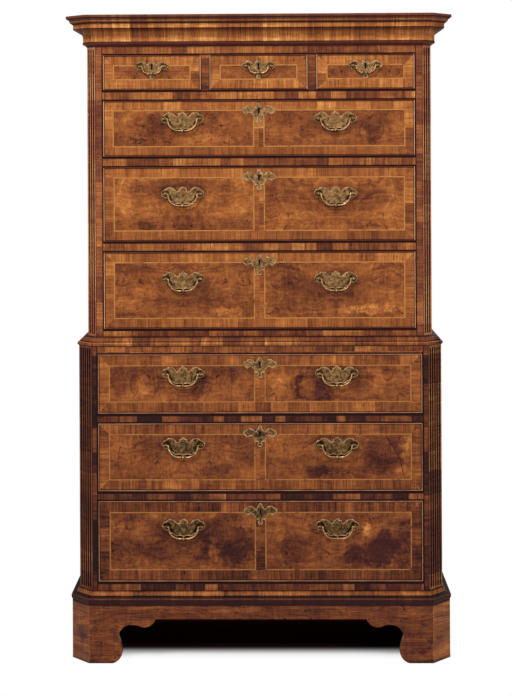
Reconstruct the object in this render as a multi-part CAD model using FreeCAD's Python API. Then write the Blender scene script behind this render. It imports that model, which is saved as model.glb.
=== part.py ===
import FreeCAD, Part
import math
import os
from collections import namedtuple
from FreeCAD import Vector

os.makedirs("parts", exist_ok=True)

# A walnut tallboy: one chest of drawers standing on another, with canted and fluted corners.
# Sizes are in millimetres. X runs to the right as the front is faced, the front faces -Y and
# Z is up. The origin is on the floor, in the middle of the area that the whole piece covers.

# Both cases
UPPER_WIDTH = 990.0
UPPER_DEPTH = 512.0
UPPER_CANT = 26.0
UPPER_STILE = 21.0
LOWER_STILE = 16.1
WAIST_STEP = 25.4
SIDE_THICKNESS = 18.0
CASE_BOARD = 18.0
DUST_BOARD = 12.0
BACK_BOARD = 9.0
BACK_BOARD_COUNT = 4
BACK_BOARD_GAP = 0.8
HOUSING = 6.0
POST_DEPTH = 60.0
RAIL_DEPTH = 70.0
FRAME_RAIL_DEPTH = 22.0
TENON_LENGTH = 15.0
TENON_THICKNESS = 10.0
TENON_SETBACK = 6.0
TENON_SHOULDER = 5.0
GUIDE_HEIGHT = 20.0
STOP_LENGTH = 40.0
STOP_DEPTH = 14.0
STOP_HEIGHT = 5.0
STOP_INSET = 90.0
STOP_CLEARANCE = 0.3

# Heights of the rails and of the drawer fronts, from the feet up
LOWER_BOTTOM_RAIL = 60.8
LOWER_THIRD_FRONT = 229.1
LOWER_SECOND_FRONT = 193.0
LOWER_FIRST_FRONT = 168.4
LOWER_RAIL = 25.0
LOWER_TOP_RAIL = 30.1
UPPER_BOTTOM_RAIL = 36.0
UPPER_THIRD_FRONT = 220.6
UPPER_SECOND_FRONT = 213.2
UPPER_FIRST_FRONT = 160.4
SHORT_FRONT = 101.0
UPPER_RAIL = 27.0
UPPER_TOP_RAIL = 35.2
MUNTIN = 22.0

# Flutes in the canted corner posts
UPPER_FLUTES = 3
LOWER_FLUTES = 5
FLUTE_PITCH = 10.0
FLUTE_WIDTH = 6.8
FLUTE_DEPTH = 2.4
FLUTE_STOP = 5.0

# Cornice
CORNICE_CORE = 18.0
CROWN_PROJECTION = 58.0
CROWN_FILLET = 7.6
CYMA_HEIGHT = 14.6
CYMA_FOOT = 40.0
FASCIA_PROJECTION = 38.0
FASCIA_HEIGHT = 16.5
FRIEZE_PROJECTION = 11.0
FRIEZE_HEIGHT = 36.1
COVE_HEIGHT = 26.0
NECKING_PROJECTION = 12.4
NECKING_HEIGHT = 13.0
NECKING_BEAD = 7.0
CORNICE_BACK_RAIL = 18.0
DUST_TOP = 10.0
DUST_TOP_SINK = 2.0
CROWN_LIP = 1.0
COVE_LIP = 2.5
NECKING_FILLET = 1.5

# Moulding at the waist, where the upper case drops in
WAIST_RISE = 16.9
WAIST_OVERLAP = 9.4
WAIST_NOSE = 4.6
WAIST_NOSE_HEIGHT = 11.2
WAIST_FILLET = 2.5
WAIST_LEDGE = 3.4

# Moulding at the base and the bracket feet
BASE_HEIGHT = 37.0
BASE_PROJECTION = 24.0
BASE_TORUS = 19.0
BASE_TOE = 4.0
BASE_TOP_FILLET = 3.0
BASE_COVE = 11.0
FOOT_HEIGHT = 164.0
FOOT_PROJECTION = 21.0
FOOT_BOARD = 26.0
APRON_UNDERSIDE = 125.0
BRACKET_REACH = 189.0
REAR_BRACKET_FOOT = 78.0
REAR_BRACKET_REACH = 150.0
REAR_BRACKET_BOARD = 20.0
GLUE_BLOCK = 38.0
GLUE_BLOCK_REACH = 12.0
GLUE_BLOCK_LIFT = 3.0
LONG_BLOCK = 30.0
LONG_BLOCK_LENGTH = 220.0

# Drawers
FRONT_GAP = 1.6
FRONT_BOARD = 22.0
BEAD_THICKNESS = 3.0
BEAD_DEPTH = 9.0
BEAD_PROJECTION = 2.5
DRAWER_SIDE = 9.0
DRAWER_BACK = 9.0
DRAWER_BOTTOM = 8.0
BOTTOM_RAISE = 7.0
BOTTOM_TONGUE = 6.0
RUNNER_WIDTH = 12.0
RUNNING_CLEARANCE = 0.3
SIDE_DROP = 5.0
BACK_SPACE = 14.0
TAIL_LAP = 2.0
TAIL_PITCH = 46.0
TAIL_FLARE = 3.0

# Brass handles: back plates, posts and swinging bails
PLATE_THICKNESS = 1.5
LONG_PLATE_WIDTH = 122.0
LONG_PLATE_RISE = 20.0
LONG_PLATE_DROP = 31.0
SMALL_PLATE_WIDTH = 94.0
SMALL_PLATE_RISE = 22.0
SMALL_PLATE_DROP = 36.0
HANDLE_OFFSET = 219.0
LONG_POST_SPREAD = 49.5
SMALL_POST_SPREAD = 35.0
LONG_BAIL_DROP = 33.5
SMALL_BAIL_DROP = 20.0
BAIL_ROD_RADIUS = 2.4
BAIL_SWELL_RADIUS = 3.1
BAIL_BEND = 3.0
BAIL_KNOP_RADIUS = 6.0
BAIL_KNOP_WIDTH = 3.0
BAIL_KNOP_SHOULDER = 5.0
BAIL_PIN_RADIUS = 2.0
BAIL_PIN_CLEARANCE = 0.08
BAIL_PIN_END = 2.4
BAIL_SIDE_CLEARANCE = 0.4
POST_BALL_RADIUS = 4.6
POST_STANDOFF = 13.0
POST_NECK_RADIUS = 2.9
POST_COLLAR_RADIUS = 5.6
POST_COLLAR = 1.8
POST_SHANK_RADIUS = 2.5
POST_HOLE_CLEARANCE = 0.1
NUT_SIZE = 10.0
NUT_THICKNESS = 3.0
SHANK_END = 1.0
SHORT_HANDLE_DROP = 33.6
UPPER_FIRST_HANDLE_DROP = 53.0
UPPER_SECOND_HANDLE_DROP = 77.0
UPPER_THIRD_HANDLE_DROP = 77.0
LOWER_FIRST_HANDLE_DROP = 55.0
LOWER_SECOND_HANDLE_DROP = 61.0
LOWER_THIRD_HANDLE_DROP = 71.0

# Keyholes and locks
KEYHOLE_DROP = 30.0
KEYHOLE_RADIUS = 3.0
KEYHOLE_RISE = 4.5
KEYHOLE_SLOT_WIDTH = 3.4
KEYHOLE_SLOT_DROP = 9.0
LOCK_WIDTH = 60.0
LOCK_DEPTH = 11.0
LOCK_BELOW_KEYHOLE = 14.0
LOCK_FACE_PLATE = 2.0
LOCK_FACE_LAP = 8.0
KEY_WELL_RADIUS = 10.0
KEY_WELL_DEPTH = 7.0
KEY_PIN_RADIUS = 1.2
BOLT_WIDTH = 18.0
BOLT_THICKNESS = 5.0
BOLT_SETBACK = 3.0
BOLT_WALL = 1.5

# Outlines drawn by hand. Each row is one step: a line's end, or an arc's middle and end.
# Plates: shares of half the plate's width, and of its rise or drop from the handle's axis.
LONG_PLATE_SHARES = [
    ((0.00, 1.00),),
    ((0.07, 0.90), (0.09, 0.70)),
    ((0.17, 0.72), (0.16, 0.48)),
    ((0.23, 0.33), (0.33, 0.40)),
    ((0.46, 0.78), (0.62, 0.90)),
    ((0.74, 0.82), (0.80, 0.58)),
    ((1.00, 0.05), (0.85, -0.32)),
    ((0.76, -0.38), (0.67, -0.31)),
    ((0.60, -0.60), (0.46, -0.71)),
    ((0.39, -0.87), (0.28, -0.90)),
    ((0.15, -0.86), (0.00, -1.00)),
]
SMALL_PLATE_SHARES = [
    ((0.00, 1.00),),
    ((0.09, 0.88), (0.07, 0.70)),
    ((0.17, 0.57), (0.20, 0.39)),
    ((0.27, 0.27), (0.34, 0.32)),
    ((0.47, 0.61), (0.62, 0.70)),
    ((0.74, 0.61), (0.81, 0.45)),
    ((1.00, 0.09), (0.87, -0.15)),
    ((0.79, -0.26), (0.68, -0.22)),
    ((0.55, -0.13), (0.43, -0.22)),
    ((0.36, -0.36), (0.29, -0.42)),
    ((0.31, -0.57), (0.17, -0.58)),
    ((0.10, -0.63), (0.08, -0.74)),
    ((0.14, -0.88), (0.00, -1.00)),
]
# Bracket feet: shares of the bracket's reach from the corner, and of the apron's underside.
FACING_SHARES = [
    ((0.36, 0.00),),
    ((0.46, 0.10), (0.50, 0.22)),
    ((0.48, 0.42), (0.44, 0.59)),
    ((0.49, 0.77), (0.59, 0.865)),
    ((0.67, 0.87),),
]
LOBE_SHARES = [
    ((0.70, 0.865), (0.735, 0.855)),
    ((0.89, 0.83), (1.00, 1.00)),
]

# Curves and dovetails: shares of a chord's length and of a tail's pitch
QUARTER_BOW_SHARE = (math.sqrt(2.0) - 1.0) / 2
OVOLO_BOW_SHARE = 0.12
HALF_SHARE = 0.5
TAIL_ROOT_SHARE = 0.62

# An overrun for cuts, the distance at which two points are one, and turns
OVERRUN = 5.0
TOUCHING = 0.001
QUARTER_TURN = 90.0
FULL_TURN = 360.0

# Worked out from the sizes above
CANT_GROWTH = 2.0 - math.sqrt(2.0)
DIAGONAL = math.sqrt(0.5)
BACK_Y = (UPPER_DEPTH + CROWN_PROJECTION) / 2
UPPER_FACE_Y = BACK_Y - UPPER_DEPTH
UP = Vector(0, 0, 1)
RIGHT = Vector(1, 0, 0)
BACKWARD = Vector(0, 1, 0)
CENTRE = Vector(0, 0, 0)

Case = namedtuple("Case", "name half_width face_y cant stile bottom rail top_rail fronts floors top")
Drawer = namedtuple("Drawer", "name case x half_width floor front handle_xs handle_drop keyhole_drop")


def make_case(name, half_width, face_y, cant, stile, bottom, bottom_rail, rail, top_rail, fronts):
    """A case from the bottom up: the floors that its drawers run on, and its top."""
    floors = []
    height = bottom + bottom_rail
    for front in fronts:
        floors.append(height)
        height += front + 2 * FRONT_GAP + rail
    top = height - rail + top_rail
    return Case(name, half_width, face_y, cant, stile, bottom, rail, top_rail, fronts, floors, top)


LOWER = make_case("lower", UPPER_WIDTH / 2 + WAIST_STEP, UPPER_FACE_Y - WAIST_STEP,
                  UPPER_CANT + CANT_GROWTH * WAIST_STEP, LOWER_STILE,
                  FOOT_HEIGHT, LOWER_BOTTOM_RAIL, LOWER_RAIL, LOWER_TOP_RAIL,
                  [LOWER_THIRD_FRONT, LOWER_SECOND_FRONT, LOWER_FIRST_FRONT])
UPPER = make_case("upper", UPPER_WIDTH / 2, UPPER_FACE_Y, UPPER_CANT, UPPER_STILE,
                  LOWER.top, UPPER_BOTTOM_RAIL, UPPER_RAIL, UPPER_TOP_RAIL,
                  [UPPER_THIRD_FRONT, UPPER_SECOND_FRONT, UPPER_FIRST_FRONT, SHORT_FRONT])
CORNICE_TOP = UPPER.top + FRIEZE_HEIGHT + FASCIA_HEIGHT + CYMA_HEIGHT + CROWN_FILLET


# Shapes that many pieces use

def save(node, solids):
    Part.makeCompound(solids).exportStep(f"parts/{node}.step")


def box(x0, x1, y0, y1, z0, z1):
    return Part.makeBox(x1 - x0, y1 - y0, z1 - z0, Vector(x0, y0, z0))


def mirrored(shape):
    return shape.mirror(CENTRE, RIGHT)


def with_mirrored(shapes):
    return shapes + [mirrored(shape) for shape in shapes]


def outline_face(start, steps, place):
    """A flat face. A step of one point is a line to it, one of two points is an arc."""
    edges = []
    here = place(*start)
    for step in steps:
        end = place(*step[-1])
        if len(step) == 1:
            edges.append(Part.LineSegment(here, end).toShape())
        else:
            edges.append(Part.Arc(here, place(*step[0]), end).toShape())
        here = end
    if here.distanceToPoint(place(*start)) > TOUCHING:
        edges.append(Part.LineSegment(here, place(*start)).toShape())
    return Part.Face(Part.Wire(edges))


def prism(points, low, high):
    """An upright prism on a plan of straight sides."""
    corners = [Vector(p.x, p.y, low) for p in points]
    return Part.Face(Part.makePolygon(corners + corners[:1])).extrude(UP * (high - low))


# Mouldings and boards that go round the front and sides of a case

def mirrored_point(point):
    return Vector(-point.x, point.y, point.z)


def corner(case, offset):
    """The side edge and the front edge of the left cant, this far outside the case."""
    cant = case.cant + offset * CANT_GROWTH
    side_edge = Vector(-case.half_width - offset, case.face_y - offset + cant, 0)
    front_edge = Vector(-case.half_width - offset + cant, case.face_y - offset, 0)
    return side_edge, front_edge


def bow(start, end, share):
    """The middle of an arc that leaves its chord by this share, to the right on the way."""
    across, rise = end[0] - start[0], end[1] - start[1]
    return (start[0] + end[0]) / 2 + rise * share, (start[1] + end[1]) / 2 - across * share


def mitred_length(case, start, steps, where):
    """One length with a section of (distance outside the case, height), mitred at the cants."""
    points = [start] + [point for step in steps for point in step]
    inner = min(point[0] for point in points) - OVERRUN
    outer = max(point[0] for point in points) + OVERRUN
    low = min(point[1] for point in points) - OVERRUN
    high = max(point[1] for point in points) + OVERRUN
    inner_side, inner_front = corner(case, inner)
    outer_side, outer_front = corner(case, outer)
    if where == "front":
        out, along = Vector(0, -1, 0), RIGHT
        base = Vector(-case.half_width - outer, case.face_y, 0)
        length = 2 * (case.half_width + outer)
        plan = [inner_front, outer_front, mirrored_point(outer_front), mirrored_point(inner_front)]
    elif where == "cant":
        out, along = Vector(-DIAGONAL, -DIAGONAL, 0), Vector(DIAGONAL, -DIAGONAL, 0)
        margin = outer + case.cant
        base = corner(case, 0)[0] - along * margin
        length = case.cant / DIAGONAL + 2 * margin
        plan = [inner_side, outer_side, outer_front, inner_front]
    else:
        out, along = Vector(-1, 0, 0), BACKWARD
        base = Vector(-case.half_width, case.face_y - outer, 0)
        length = BACK_Y - base.y
        plan = [inner_side, outer_side, Vector(outer_side.x, BACK_Y, 0), Vector(inner_side.x, BACK_Y, 0)]
    face = outline_face(start, steps, lambda p, z: base + out * p + UP * z)
    return face.extrude(along * length).common(prism(plan, low, high)).Solids[0]


def moulding(case, start, steps):
    """Five mitred lengths: the front, two cants and two sides."""
    left = [mitred_length(case, start, steps, "cant"), mitred_length(case, start, steps, "side")]
    return [mitred_length(case, start, steps, "front")] + with_mirrored(left)


def crown_moulding():
    """Fascia, cyma and top fillet, on a core that the dust top and back rail fit inside."""
    foot = UPPER.top + FRIEZE_HEIGHT
    fascia_top = foot + FASCIA_HEIGHT
    cyma_top = fascia_top + CYMA_HEIGHT
    cyma_foot = (CYMA_FOOT, fascia_top)
    cyma_end = (CROWN_PROJECTION - CROWN_LIP, cyma_top)
    cyma_middle = ((cyma_foot[0] + cyma_end[0]) / 2, (fascia_top + cyma_top) / 2)
    steps = [((FASCIA_PROJECTION, foot),),
             ((FASCIA_PROJECTION, fascia_top),),
             (cyma_foot,),
             (bow(cyma_foot, cyma_middle, QUARTER_BOW_SHARE), cyma_middle),
             (bow(cyma_middle, cyma_end, -QUARTER_BOW_SHARE), cyma_end),
             ((CROWN_PROJECTION, cyma_top),),
             ((CROWN_PROJECTION, CORNICE_TOP),),
             ((-CORNICE_CORE, CORNICE_TOP),)]
    return moulding(UPPER, (-CORNICE_CORE, foot), steps)


def frieze_moulding():
    """The hollow frieze, which stands on the upper case and carries the crown."""
    foot = UPPER.top
    top = foot + FRIEZE_HEIGHT
    cove_foot = (FRIEZE_PROJECTION, top - COVE_HEIGHT)
    cove_top = (FASCIA_PROJECTION - COVE_LIP, top)
    steps = [((FRIEZE_PROJECTION, foot),),
             (cove_foot,),
             (bow(cove_foot, cove_top, -QUARTER_BOW_SHARE), cove_top),
             ((-CORNICE_CORE, top),)]
    return moulding(UPPER, (-CORNICE_CORE, foot), steps)


def necking_moulding():
    """A bead over a small hollow, glued round the top of the upper case."""
    top = UPPER.top
    foot = top - NECKING_HEIGHT
    bead_root = NECKING_PROJECTION - NECKING_BEAD / 2
    bead_foot = (bead_root, top - NECKING_BEAD)
    hollow_foot = (NECKING_FILLET, foot)
    steps = [(hollow_foot,),
             (bow(hollow_foot, bead_foot, -QUARTER_BOW_SHARE), bead_foot),
             ((NECKING_PROJECTION, top - NECKING_BEAD / 2), (bead_root, top)),
             ((0, top),)]
    return moulding(UPPER, (0, foot), steps)


def cornice_back_rail():
    inner = UPPER.half_width - CORNICE_CORE
    return box(-inner, inner, BACK_Y - CORNICE_BACK_RAIL, BACK_Y, UPPER.top, CORNICE_TOP)


def dust_top():
    """The thin board that closes the top inside the cornice."""
    side_edge, front_edge = corner(UPPER, -CORNICE_CORE)
    left = [Vector(side_edge.x, BACK_Y - CORNICE_BACK_RAIL, 0), side_edge, front_edge]
    right = [mirrored_point(point) for point in reversed(left)]
    top = CORNICE_TOP - DUST_TOP_SINK
    return prism(left + right, top - DUST_TOP, top)


def waist_moulding():
    """A round nose and an ovolo on top of the lower case; the upper case drops inside it."""
    foot = LOWER.top - WAIST_OVERLAP
    nose_top = foot + WAIST_NOSE_HEIGHT
    top = LOWER.top + WAIST_RISE
    ovolo_foot = (-WAIST_FILLET, nose_top + WAIST_FILLET)
    ovolo_top = (WAIST_LEDGE - WAIST_STEP, top)
    steps = [((WAIST_NOSE, (foot + nose_top) / 2), (0, nose_top)),
             ((-WAIST_FILLET, nose_top),),
             (ovolo_foot,),
             (bow(ovolo_foot, ovolo_top, OVOLO_BOW_SHARE), ovolo_top),
             ((-WAIST_STEP, top),),
             ((-WAIST_STEP, LOWER.top),),
             ((0, LOWER.top),)]
    return moulding(LOWER, (0, foot), steps)


def base_moulding():
    """A torus under a hollow, glued round the foot of the lower case."""
    foot = FOOT_HEIGHT
    top = foot + BASE_HEIGHT
    torus_foot = foot + BASE_TOE
    torus_top = torus_foot + BASE_TORUS
    cove_foot = (BASE_TOP_FILLET + BASE_COVE, torus_top)
    cove_top = (BASE_TOP_FILLET, top - BASE_TOP_FILLET)
    steps = [((FOOT_PROJECTION, foot),),
             ((FOOT_PROJECTION, torus_foot),),
             ((BASE_PROJECTION, (torus_foot + torus_top) / 2), (FOOT_PROJECTION, torus_top)),
             (cove_foot,),
             (bow(cove_foot, cove_top, -QUARTER_BOW_SHARE), cove_top),
             ((BASE_TOP_FILLET, top),),
             ((0, top),)]
    return moulding(LOWER, (0, foot), steps)


# Bracket feet

def bracket_point(shares):
    return shares[0] * BRACKET_REACH, shares[1] * APRON_UNDERSIDE


def bracket_steps(rows):
    return [tuple(bracket_point(point) for point in row) for row in rows]


def facing_outline():
    """A foot's facing, by distance from its corner and height."""
    steps = bracket_steps(FACING_SHARES)
    joint = steps[-1][-1]
    return (-OVERRUN, 0), steps + [((joint[0], FOOT_HEIGHT),), ((-OVERRUN, FOOT_HEIGHT),)]


def apron_outline(length):
    """The rail between two facings, with a lobe at each end."""
    start = bracket_point(FACING_SHARES[-1][-1])
    lobe = bracket_steps(LOBE_SHARES)
    steps = lobe + [((length - lobe[-1][-1][0], APRON_UNDERSIDE),)]
    ends = [start] + [row[-1] for row in lobe[:-1]]
    for row, end in zip(reversed(lobe), reversed(ends)):
        middle = row[0]
        steps.append(((length - middle[0], middle[1]), (length - end[0], end[1])))
    steps += [((length - start[0], FOOT_HEIGHT),), ((start[0], FOOT_HEIGHT),)]
    return start, steps


def foot_face(where):
    """The three boards that show on one face: two facings and the apron between them."""
    section = [((FOOT_PROJECTION, 0),), ((FOOT_PROJECTION, FOOT_HEIGHT),),
               ((FOOT_PROJECTION - FOOT_BOARD, FOOT_HEIGHT),)]
    board = mitred_length(LOWER, (FOOT_PROJECTION - FOOT_BOARD, 0), section, where)
    side_edge, front_edge = corner(LOWER, FOOT_PROJECTION)
    reach = FOOT_BOARD + FOOT_PROJECTION + OVERRUN
    if where == "front":
        length = -2 * front_edge.x
        base, along, through = Vector(front_edge.x, LOWER.face_y - reach, 0), RIGHT, BACKWARD * 2 * reach
    else:
        length = BACK_Y - side_edge.y
        base, along, through = Vector(side_edge.x - reach, side_edge.y, 0), BACKWARD, RIGHT * 2 * reach
    facing_start, facing_steps = facing_outline()
    apron_start, apron_steps = apron_outline(length)
    near = outline_face(facing_start, facing_steps, lambda d, z: base + along * d + UP * z)
    far = outline_face(facing_start, facing_steps, lambda d, z: base + along * (length - d) + UP * z)
    apron = outline_face(apron_start, apron_steps, lambda d, z: base + along * d + UP * z)
    return [board.common(face.extrude(through)).Solids[0] for face in (near, apron, far)]


def bracket_feet():
    """Facings on the front, sides and cants, and plain brackets at the back."""
    section = [((FOOT_PROJECTION, 0),), ((FOOT_PROJECTION, FOOT_HEIGHT),),
               ((FOOT_PROJECTION - FOOT_BOARD, FOOT_HEIGHT),)]
    cant = mitred_length(LOWER, (FOOT_PROJECTION - FOOT_BOARD, 0), section, "cant")
    inner = LOWER.half_width + FOOT_PROJECTION - FOOT_BOARD
    plan = [(-inner, 0), (-inner + REAR_BRACKET_FOOT, 0), (-inner + REAR_BRACKET_REACH, FOOT_HEIGHT),
            (-inner, FOOT_HEIGHT)]
    rear_face = outline_face(plan[0], [(point,) for point in plan[1:]],
                             lambda x, z: Vector(x, BACK_Y - REAR_BRACKET_BOARD, z))
    rear = rear_face.extrude(BACKWARD * REAR_BRACKET_BOARD)
    return foot_face("front") + with_mirrored([cant, rear] + foot_face("side"))


def glue_blocks():
    """Blocks glued behind the feet, just clear of the floor, and under the front rail."""
    side_edge, front_edge = corner(LOWER, FOOT_PROJECTION - FOOT_BOARD)
    inside = Vector(front_edge.x + GLUE_BLOCK_REACH, side_edge.y + GLUE_BLOCK_REACH, 0)
    plan = [side_edge, front_edge, Vector(inside.x, front_edge.y, 0), inside,
            Vector(side_edge.x, inside.y, 0)]
    front_block = prism(plan, GLUE_BLOCK_LIFT, FOOT_HEIGHT)
    rear_y = BACK_Y - REAR_BRACKET_BOARD
    rear_block = box(side_edge.x, side_edge.x + GLUE_BLOCK, rear_y - GLUE_BLOCK, rear_y,
                     GLUE_BLOCK_LIFT, FOOT_HEIGHT)
    start = inside.x + GLUE_BLOCK
    long_block = box(start, start + LONG_BLOCK_LENGTH, front_edge.y, front_edge.y + LONG_BLOCK,
                     FOOT_HEIGHT - LONG_BLOCK, FOOT_HEIGHT)
    return with_mirrored([front_block, rear_block, long_block])


# Boards of a case

def opening_half(case):
    return case.half_width - case.cant - case.stile


def opening_height(case, index):
    return case.fronts[index] + 2 * FRONT_GAP


def flute(case, offset, low, high):
    """A round-ended groove in the left cant, this far along it from its middle."""
    radius = (FLUTE_WIDTH ** 2 / 4 + FLUTE_DEPTH ** 2) / (2 * FLUTE_DEPTH)
    side_edge, front_edge = corner(case, radius - FLUTE_DEPTH)
    middle = (side_edge + front_edge) / 2
    axis = middle + Vector(DIAGONAL, -DIAGONAL, 0) * offset
    bend = radius * DIAGONAL
    steps = [((bend, low + radius - bend), (radius, low + radius)),
             ((radius, high - radius),),
             ((bend, high - radius + bend), (0, high))]
    half = outline_face((0, low), steps, lambda r, z: axis + RIGHT * r + UP * z)
    return half.revolve(axis, UP, FULL_TURN)


def corner_posts(case, flutes, low, high, rails):
    """Two posts, each a stile and a canted pilaster with stopped flutes."""
    side_edge, front_edge = corner(case, 0)
    inner = -opening_half(case)
    back = case.face_y + POST_DEPTH
    plan = [side_edge, front_edge, Vector(inner, case.face_y, 0), Vector(inner, back, 0),
            Vector(side_edge.x, back, 0)]
    grooves = [flute(case, (index - (flutes - 1) / 2) * FLUTE_PITCH, low, high) for index in range(flutes)]
    post = prism(plan, case.bottom, case.top).cut(grooves + rails)
    return with_mirrored([post.Solids[0]])


def rail(case, low, high, depth):
    """A rail between the posts, tenoned into both."""
    half = opening_half(case)
    body = box(-half, half, case.face_y, case.face_y + depth, low, high)
    tenon_y = case.face_y + TENON_SETBACK
    tenon = box(-half - TENON_LENGTH, half + TENON_LENGTH, tenon_y, tenon_y + TENON_THICKNESS,
                low + TENON_SHOULDER, high - TENON_SHOULDER)
    return body.fuse(tenon).removeSplitter().Solids[0]


def case_rails(case):
    rails = [rail(case, case.bottom, case.floors[0], FRAME_RAIL_DEPTH)]
    for floor in case.floors[1:]:
        rails.append(rail(case, floor - case.rail, floor, RAIL_DEPTH))
    return rails + [rail(case, case.top - case.top_rail, case.top, FRAME_RAIL_DEPTH)]


def muntin_middle():
    """How far each upright between the short drawers stands from the middle."""
    return (opening_half(UPPER) * 2 - 2 * MUNTIN) / 3 / 2 + MUNTIN / 2


def muntins():
    """The two uprights between the short drawers."""
    floor = UPPER.floors[-1]
    middle = muntin_middle()
    upright = box(middle - MUNTIN / 2, middle + MUNTIN / 2, UPPER.face_y, UPPER.face_y + FRAME_RAIL_DEPTH,
                  floor, floor + opening_height(UPPER, -1))
    return with_mirrored([upright])


def drawer_stops(drawer):
    """Two blocks on the rail that the closed front comes to rest against."""
    y = drawer.case.face_y + FRONT_BOARD + STOP_CLEARANCE
    middle = drawer.half_width - STOP_INSET
    stops = []
    for x in (drawer.x - middle, drawer.x + middle):
        stops.append(box(x - STOP_LENGTH / 2, x + STOP_LENGTH / 2, y, y + STOP_DEPTH,
                         drawer.floor, drawer.floor + STOP_HEIGHT))
    return stops


def housed_board(case, front_y, low, thickness):
    """A full-depth board, housed in the sides, that passes between the corner posts."""
    wide = case.half_width - SIDE_THICKNESS + HOUSING
    narrow = opening_half(case)
    shoulder = case.face_y + POST_DEPTH
    back = BACK_Y - BACK_BOARD
    if front_y < shoulder:
        right = [Vector(narrow, front_y, 0), Vector(narrow, shoulder, 0), Vector(wide, shoulder, 0),
                 Vector(wide, back, 0)]
    else:
        right = [Vector(wide, front_y, 0), Vector(wide, back, 0)]
    left = [mirrored_point(point) for point in reversed(right)]
    return prism(right + left, low, low + thickness)


def case_boards(case):
    """The bottom board, level with the lowest drawer's floor, and the top board."""
    front_y = case.face_y + FRAME_RAIL_DEPTH
    return [housed_board(case, front_y, case.floors[0] - CASE_BOARD, CASE_BOARD),
            housed_board(case, front_y, case.top - CASE_BOARD, CASE_BOARD)]


def dust_boards(case):
    front_y = case.face_y + RAIL_DEPTH
    return [housed_board(case, front_y, floor - DUST_BOARD, DUST_BOARD) for floor in case.floors[1:]]


def guides(case):
    """Strips that keep each drawer straight: one by each side of the case."""
    inner = opening_half(case)
    outer = case.half_width - SIDE_THICKNESS
    front_y = case.face_y + RAIL_DEPTH
    strips = []
    for floor in case.floors:
        strips.append(box(inner, outer, front_y, BACK_Y - BACK_BOARD, floor, floor + GUIDE_HEIGHT))
    return with_mirrored(strips)


def muntin_guides():
    """Strips between the short drawers, behind the muntins."""
    middle = muntin_middle()
    floor = UPPER.floors[-1]
    strip = box(middle - MUNTIN / 2, middle + MUNTIN / 2, UPPER.face_y + FRAME_RAIL_DEPTH,
                BACK_Y - BACK_BOARD, floor, floor + GUIDE_HEIGHT)
    return with_mirrored([strip])


def case_sides(case, boards):
    """The two side boards, with a housing for each board that they carry."""
    side = box(-case.half_width, -case.half_width + SIDE_THICKNESS, case.face_y + POST_DEPTH, BACK_Y,
               case.bottom, case.top)
    return with_mirrored([side.cut(boards).Solids[0]])


def back_boards(case):
    """Upright boards between the sides, with a small gap to let them move."""
    half = case.half_width - SIDE_THICKNESS
    width = (2 * half - (BACK_BOARD_COUNT - 1) * BACK_BOARD_GAP) / BACK_BOARD_COUNT
    boards = []
    for index in range(BACK_BOARD_COUNT):
        x = -half + index * (width + BACK_BOARD_GAP)
        boards.append(box(x, x + width, BACK_Y - BACK_BOARD, BACK_Y, case.bottom, case.top))
    return boards


# Drawers

def drawer_bead(drawer):
    """Four mitred strips let into the front's edges, standing a little proud of it."""
    face_y = drawer.case.face_y
    low = drawer.floor + FRONT_GAP
    high = low + drawer.front
    nose = BEAD_THICKNESS / 2
    section = [((BEAD_THICKNESS, BEAD_DEPTH),),
               ((BEAD_THICKNESS, nose - BEAD_PROJECTION),),
               ((nose, -BEAD_PROJECTION), (0, nose - BEAD_PROJECTION))]
    outer = [(-drawer.half_width, low), (drawer.half_width, low), (drawer.half_width, high),
             (-drawer.half_width, high)]
    inward = [(1, 1), (-1, 1), (-1, -1), (1, -1)]
    strips = []
    for index in range(len(outer)):
        here, there = outer[index], outer[(index + 1) % len(outer)]
        here_in, there_in = inward[index], inward[(index + 1) % len(outer)]
        along = Vector(there[0] - here[0], 0, there[1] - here[1])
        in_x, in_z = (here_in[0] + there_in[0]) / 2, (here_in[1] + there_in[1]) / 2
        base = Vector(drawer.x + here[0], face_y, here[1])
        face = outline_face((0, BEAD_DEPTH), section,
                            lambda u, d: base + Vector(in_x * u, d, in_z * u))
        corners = [here, there,
                   (there[0] + there_in[0] * BEAD_THICKNESS, there[1] + there_in[1] * BEAD_THICKNESS),
                   (here[0] + here_in[0] * BEAD_THICKNESS, here[1] + here_in[1] * BEAD_THICKNESS)]
        points = [Vector(drawer.x + x, face_y - BEAD_PROJECTION - OVERRUN, z) for x, z in corners]
        mitres = Part.Face(Part.makePolygon(points + points[:1]))
        mitres = mitres.extrude(BACKWARD * (BEAD_DEPTH + BEAD_PROJECTION + 2 * OVERRUN))
        strips.append(face.extrude(along).common(mitres).Solids[0])
    return strips


def side_height(drawer):
    return drawer.floor + RUNNING_CLEARANCE, drawer.floor + FRONT_GAP + drawer.front - SIDE_DROP


def bottom_height(drawer):
    low = drawer.floor + BOTTOM_RAISE
    return low, low + DRAWER_BOTTOM


def drawer_back_y(drawer):
    return BACK_Y - BACK_BOARD - BACK_SPACE


def tails(drawer, root_y, tip_y, low, high):
    """The dovetails at one end of both drawer sides, widest at their tips."""
    count = max(1, round((high - low) / TAIL_PITCH))
    pitch = (high - low) / count
    solids = []
    for index in range(count):
        middle = low + pitch * (index + HALF_SHARE)
        root = pitch * TAIL_ROOT_SHARE / 2
        tip = root + TAIL_FLARE
        for sign in (-1, 1):
            x = drawer.x + sign * drawer.half_width
            points = [Vector(x, root_y, middle - root), Vector(x, root_y, middle + root),
                      Vector(x, tip_y, middle + tip), Vector(x, tip_y, middle - tip)]
            face = Part.Face(Part.makePolygon(points + points[:1]))
            solids.append(face.extrude(RIGHT * -sign * DRAWER_SIDE))
    return solids


def front_tails(drawer):
    face_y = drawer.case.face_y
    low = drawer.floor + FRONT_GAP
    return tails(drawer, face_y + FRONT_BOARD, face_y + BEAD_DEPTH + TAIL_LAP, low, side_height(drawer)[1])


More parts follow.
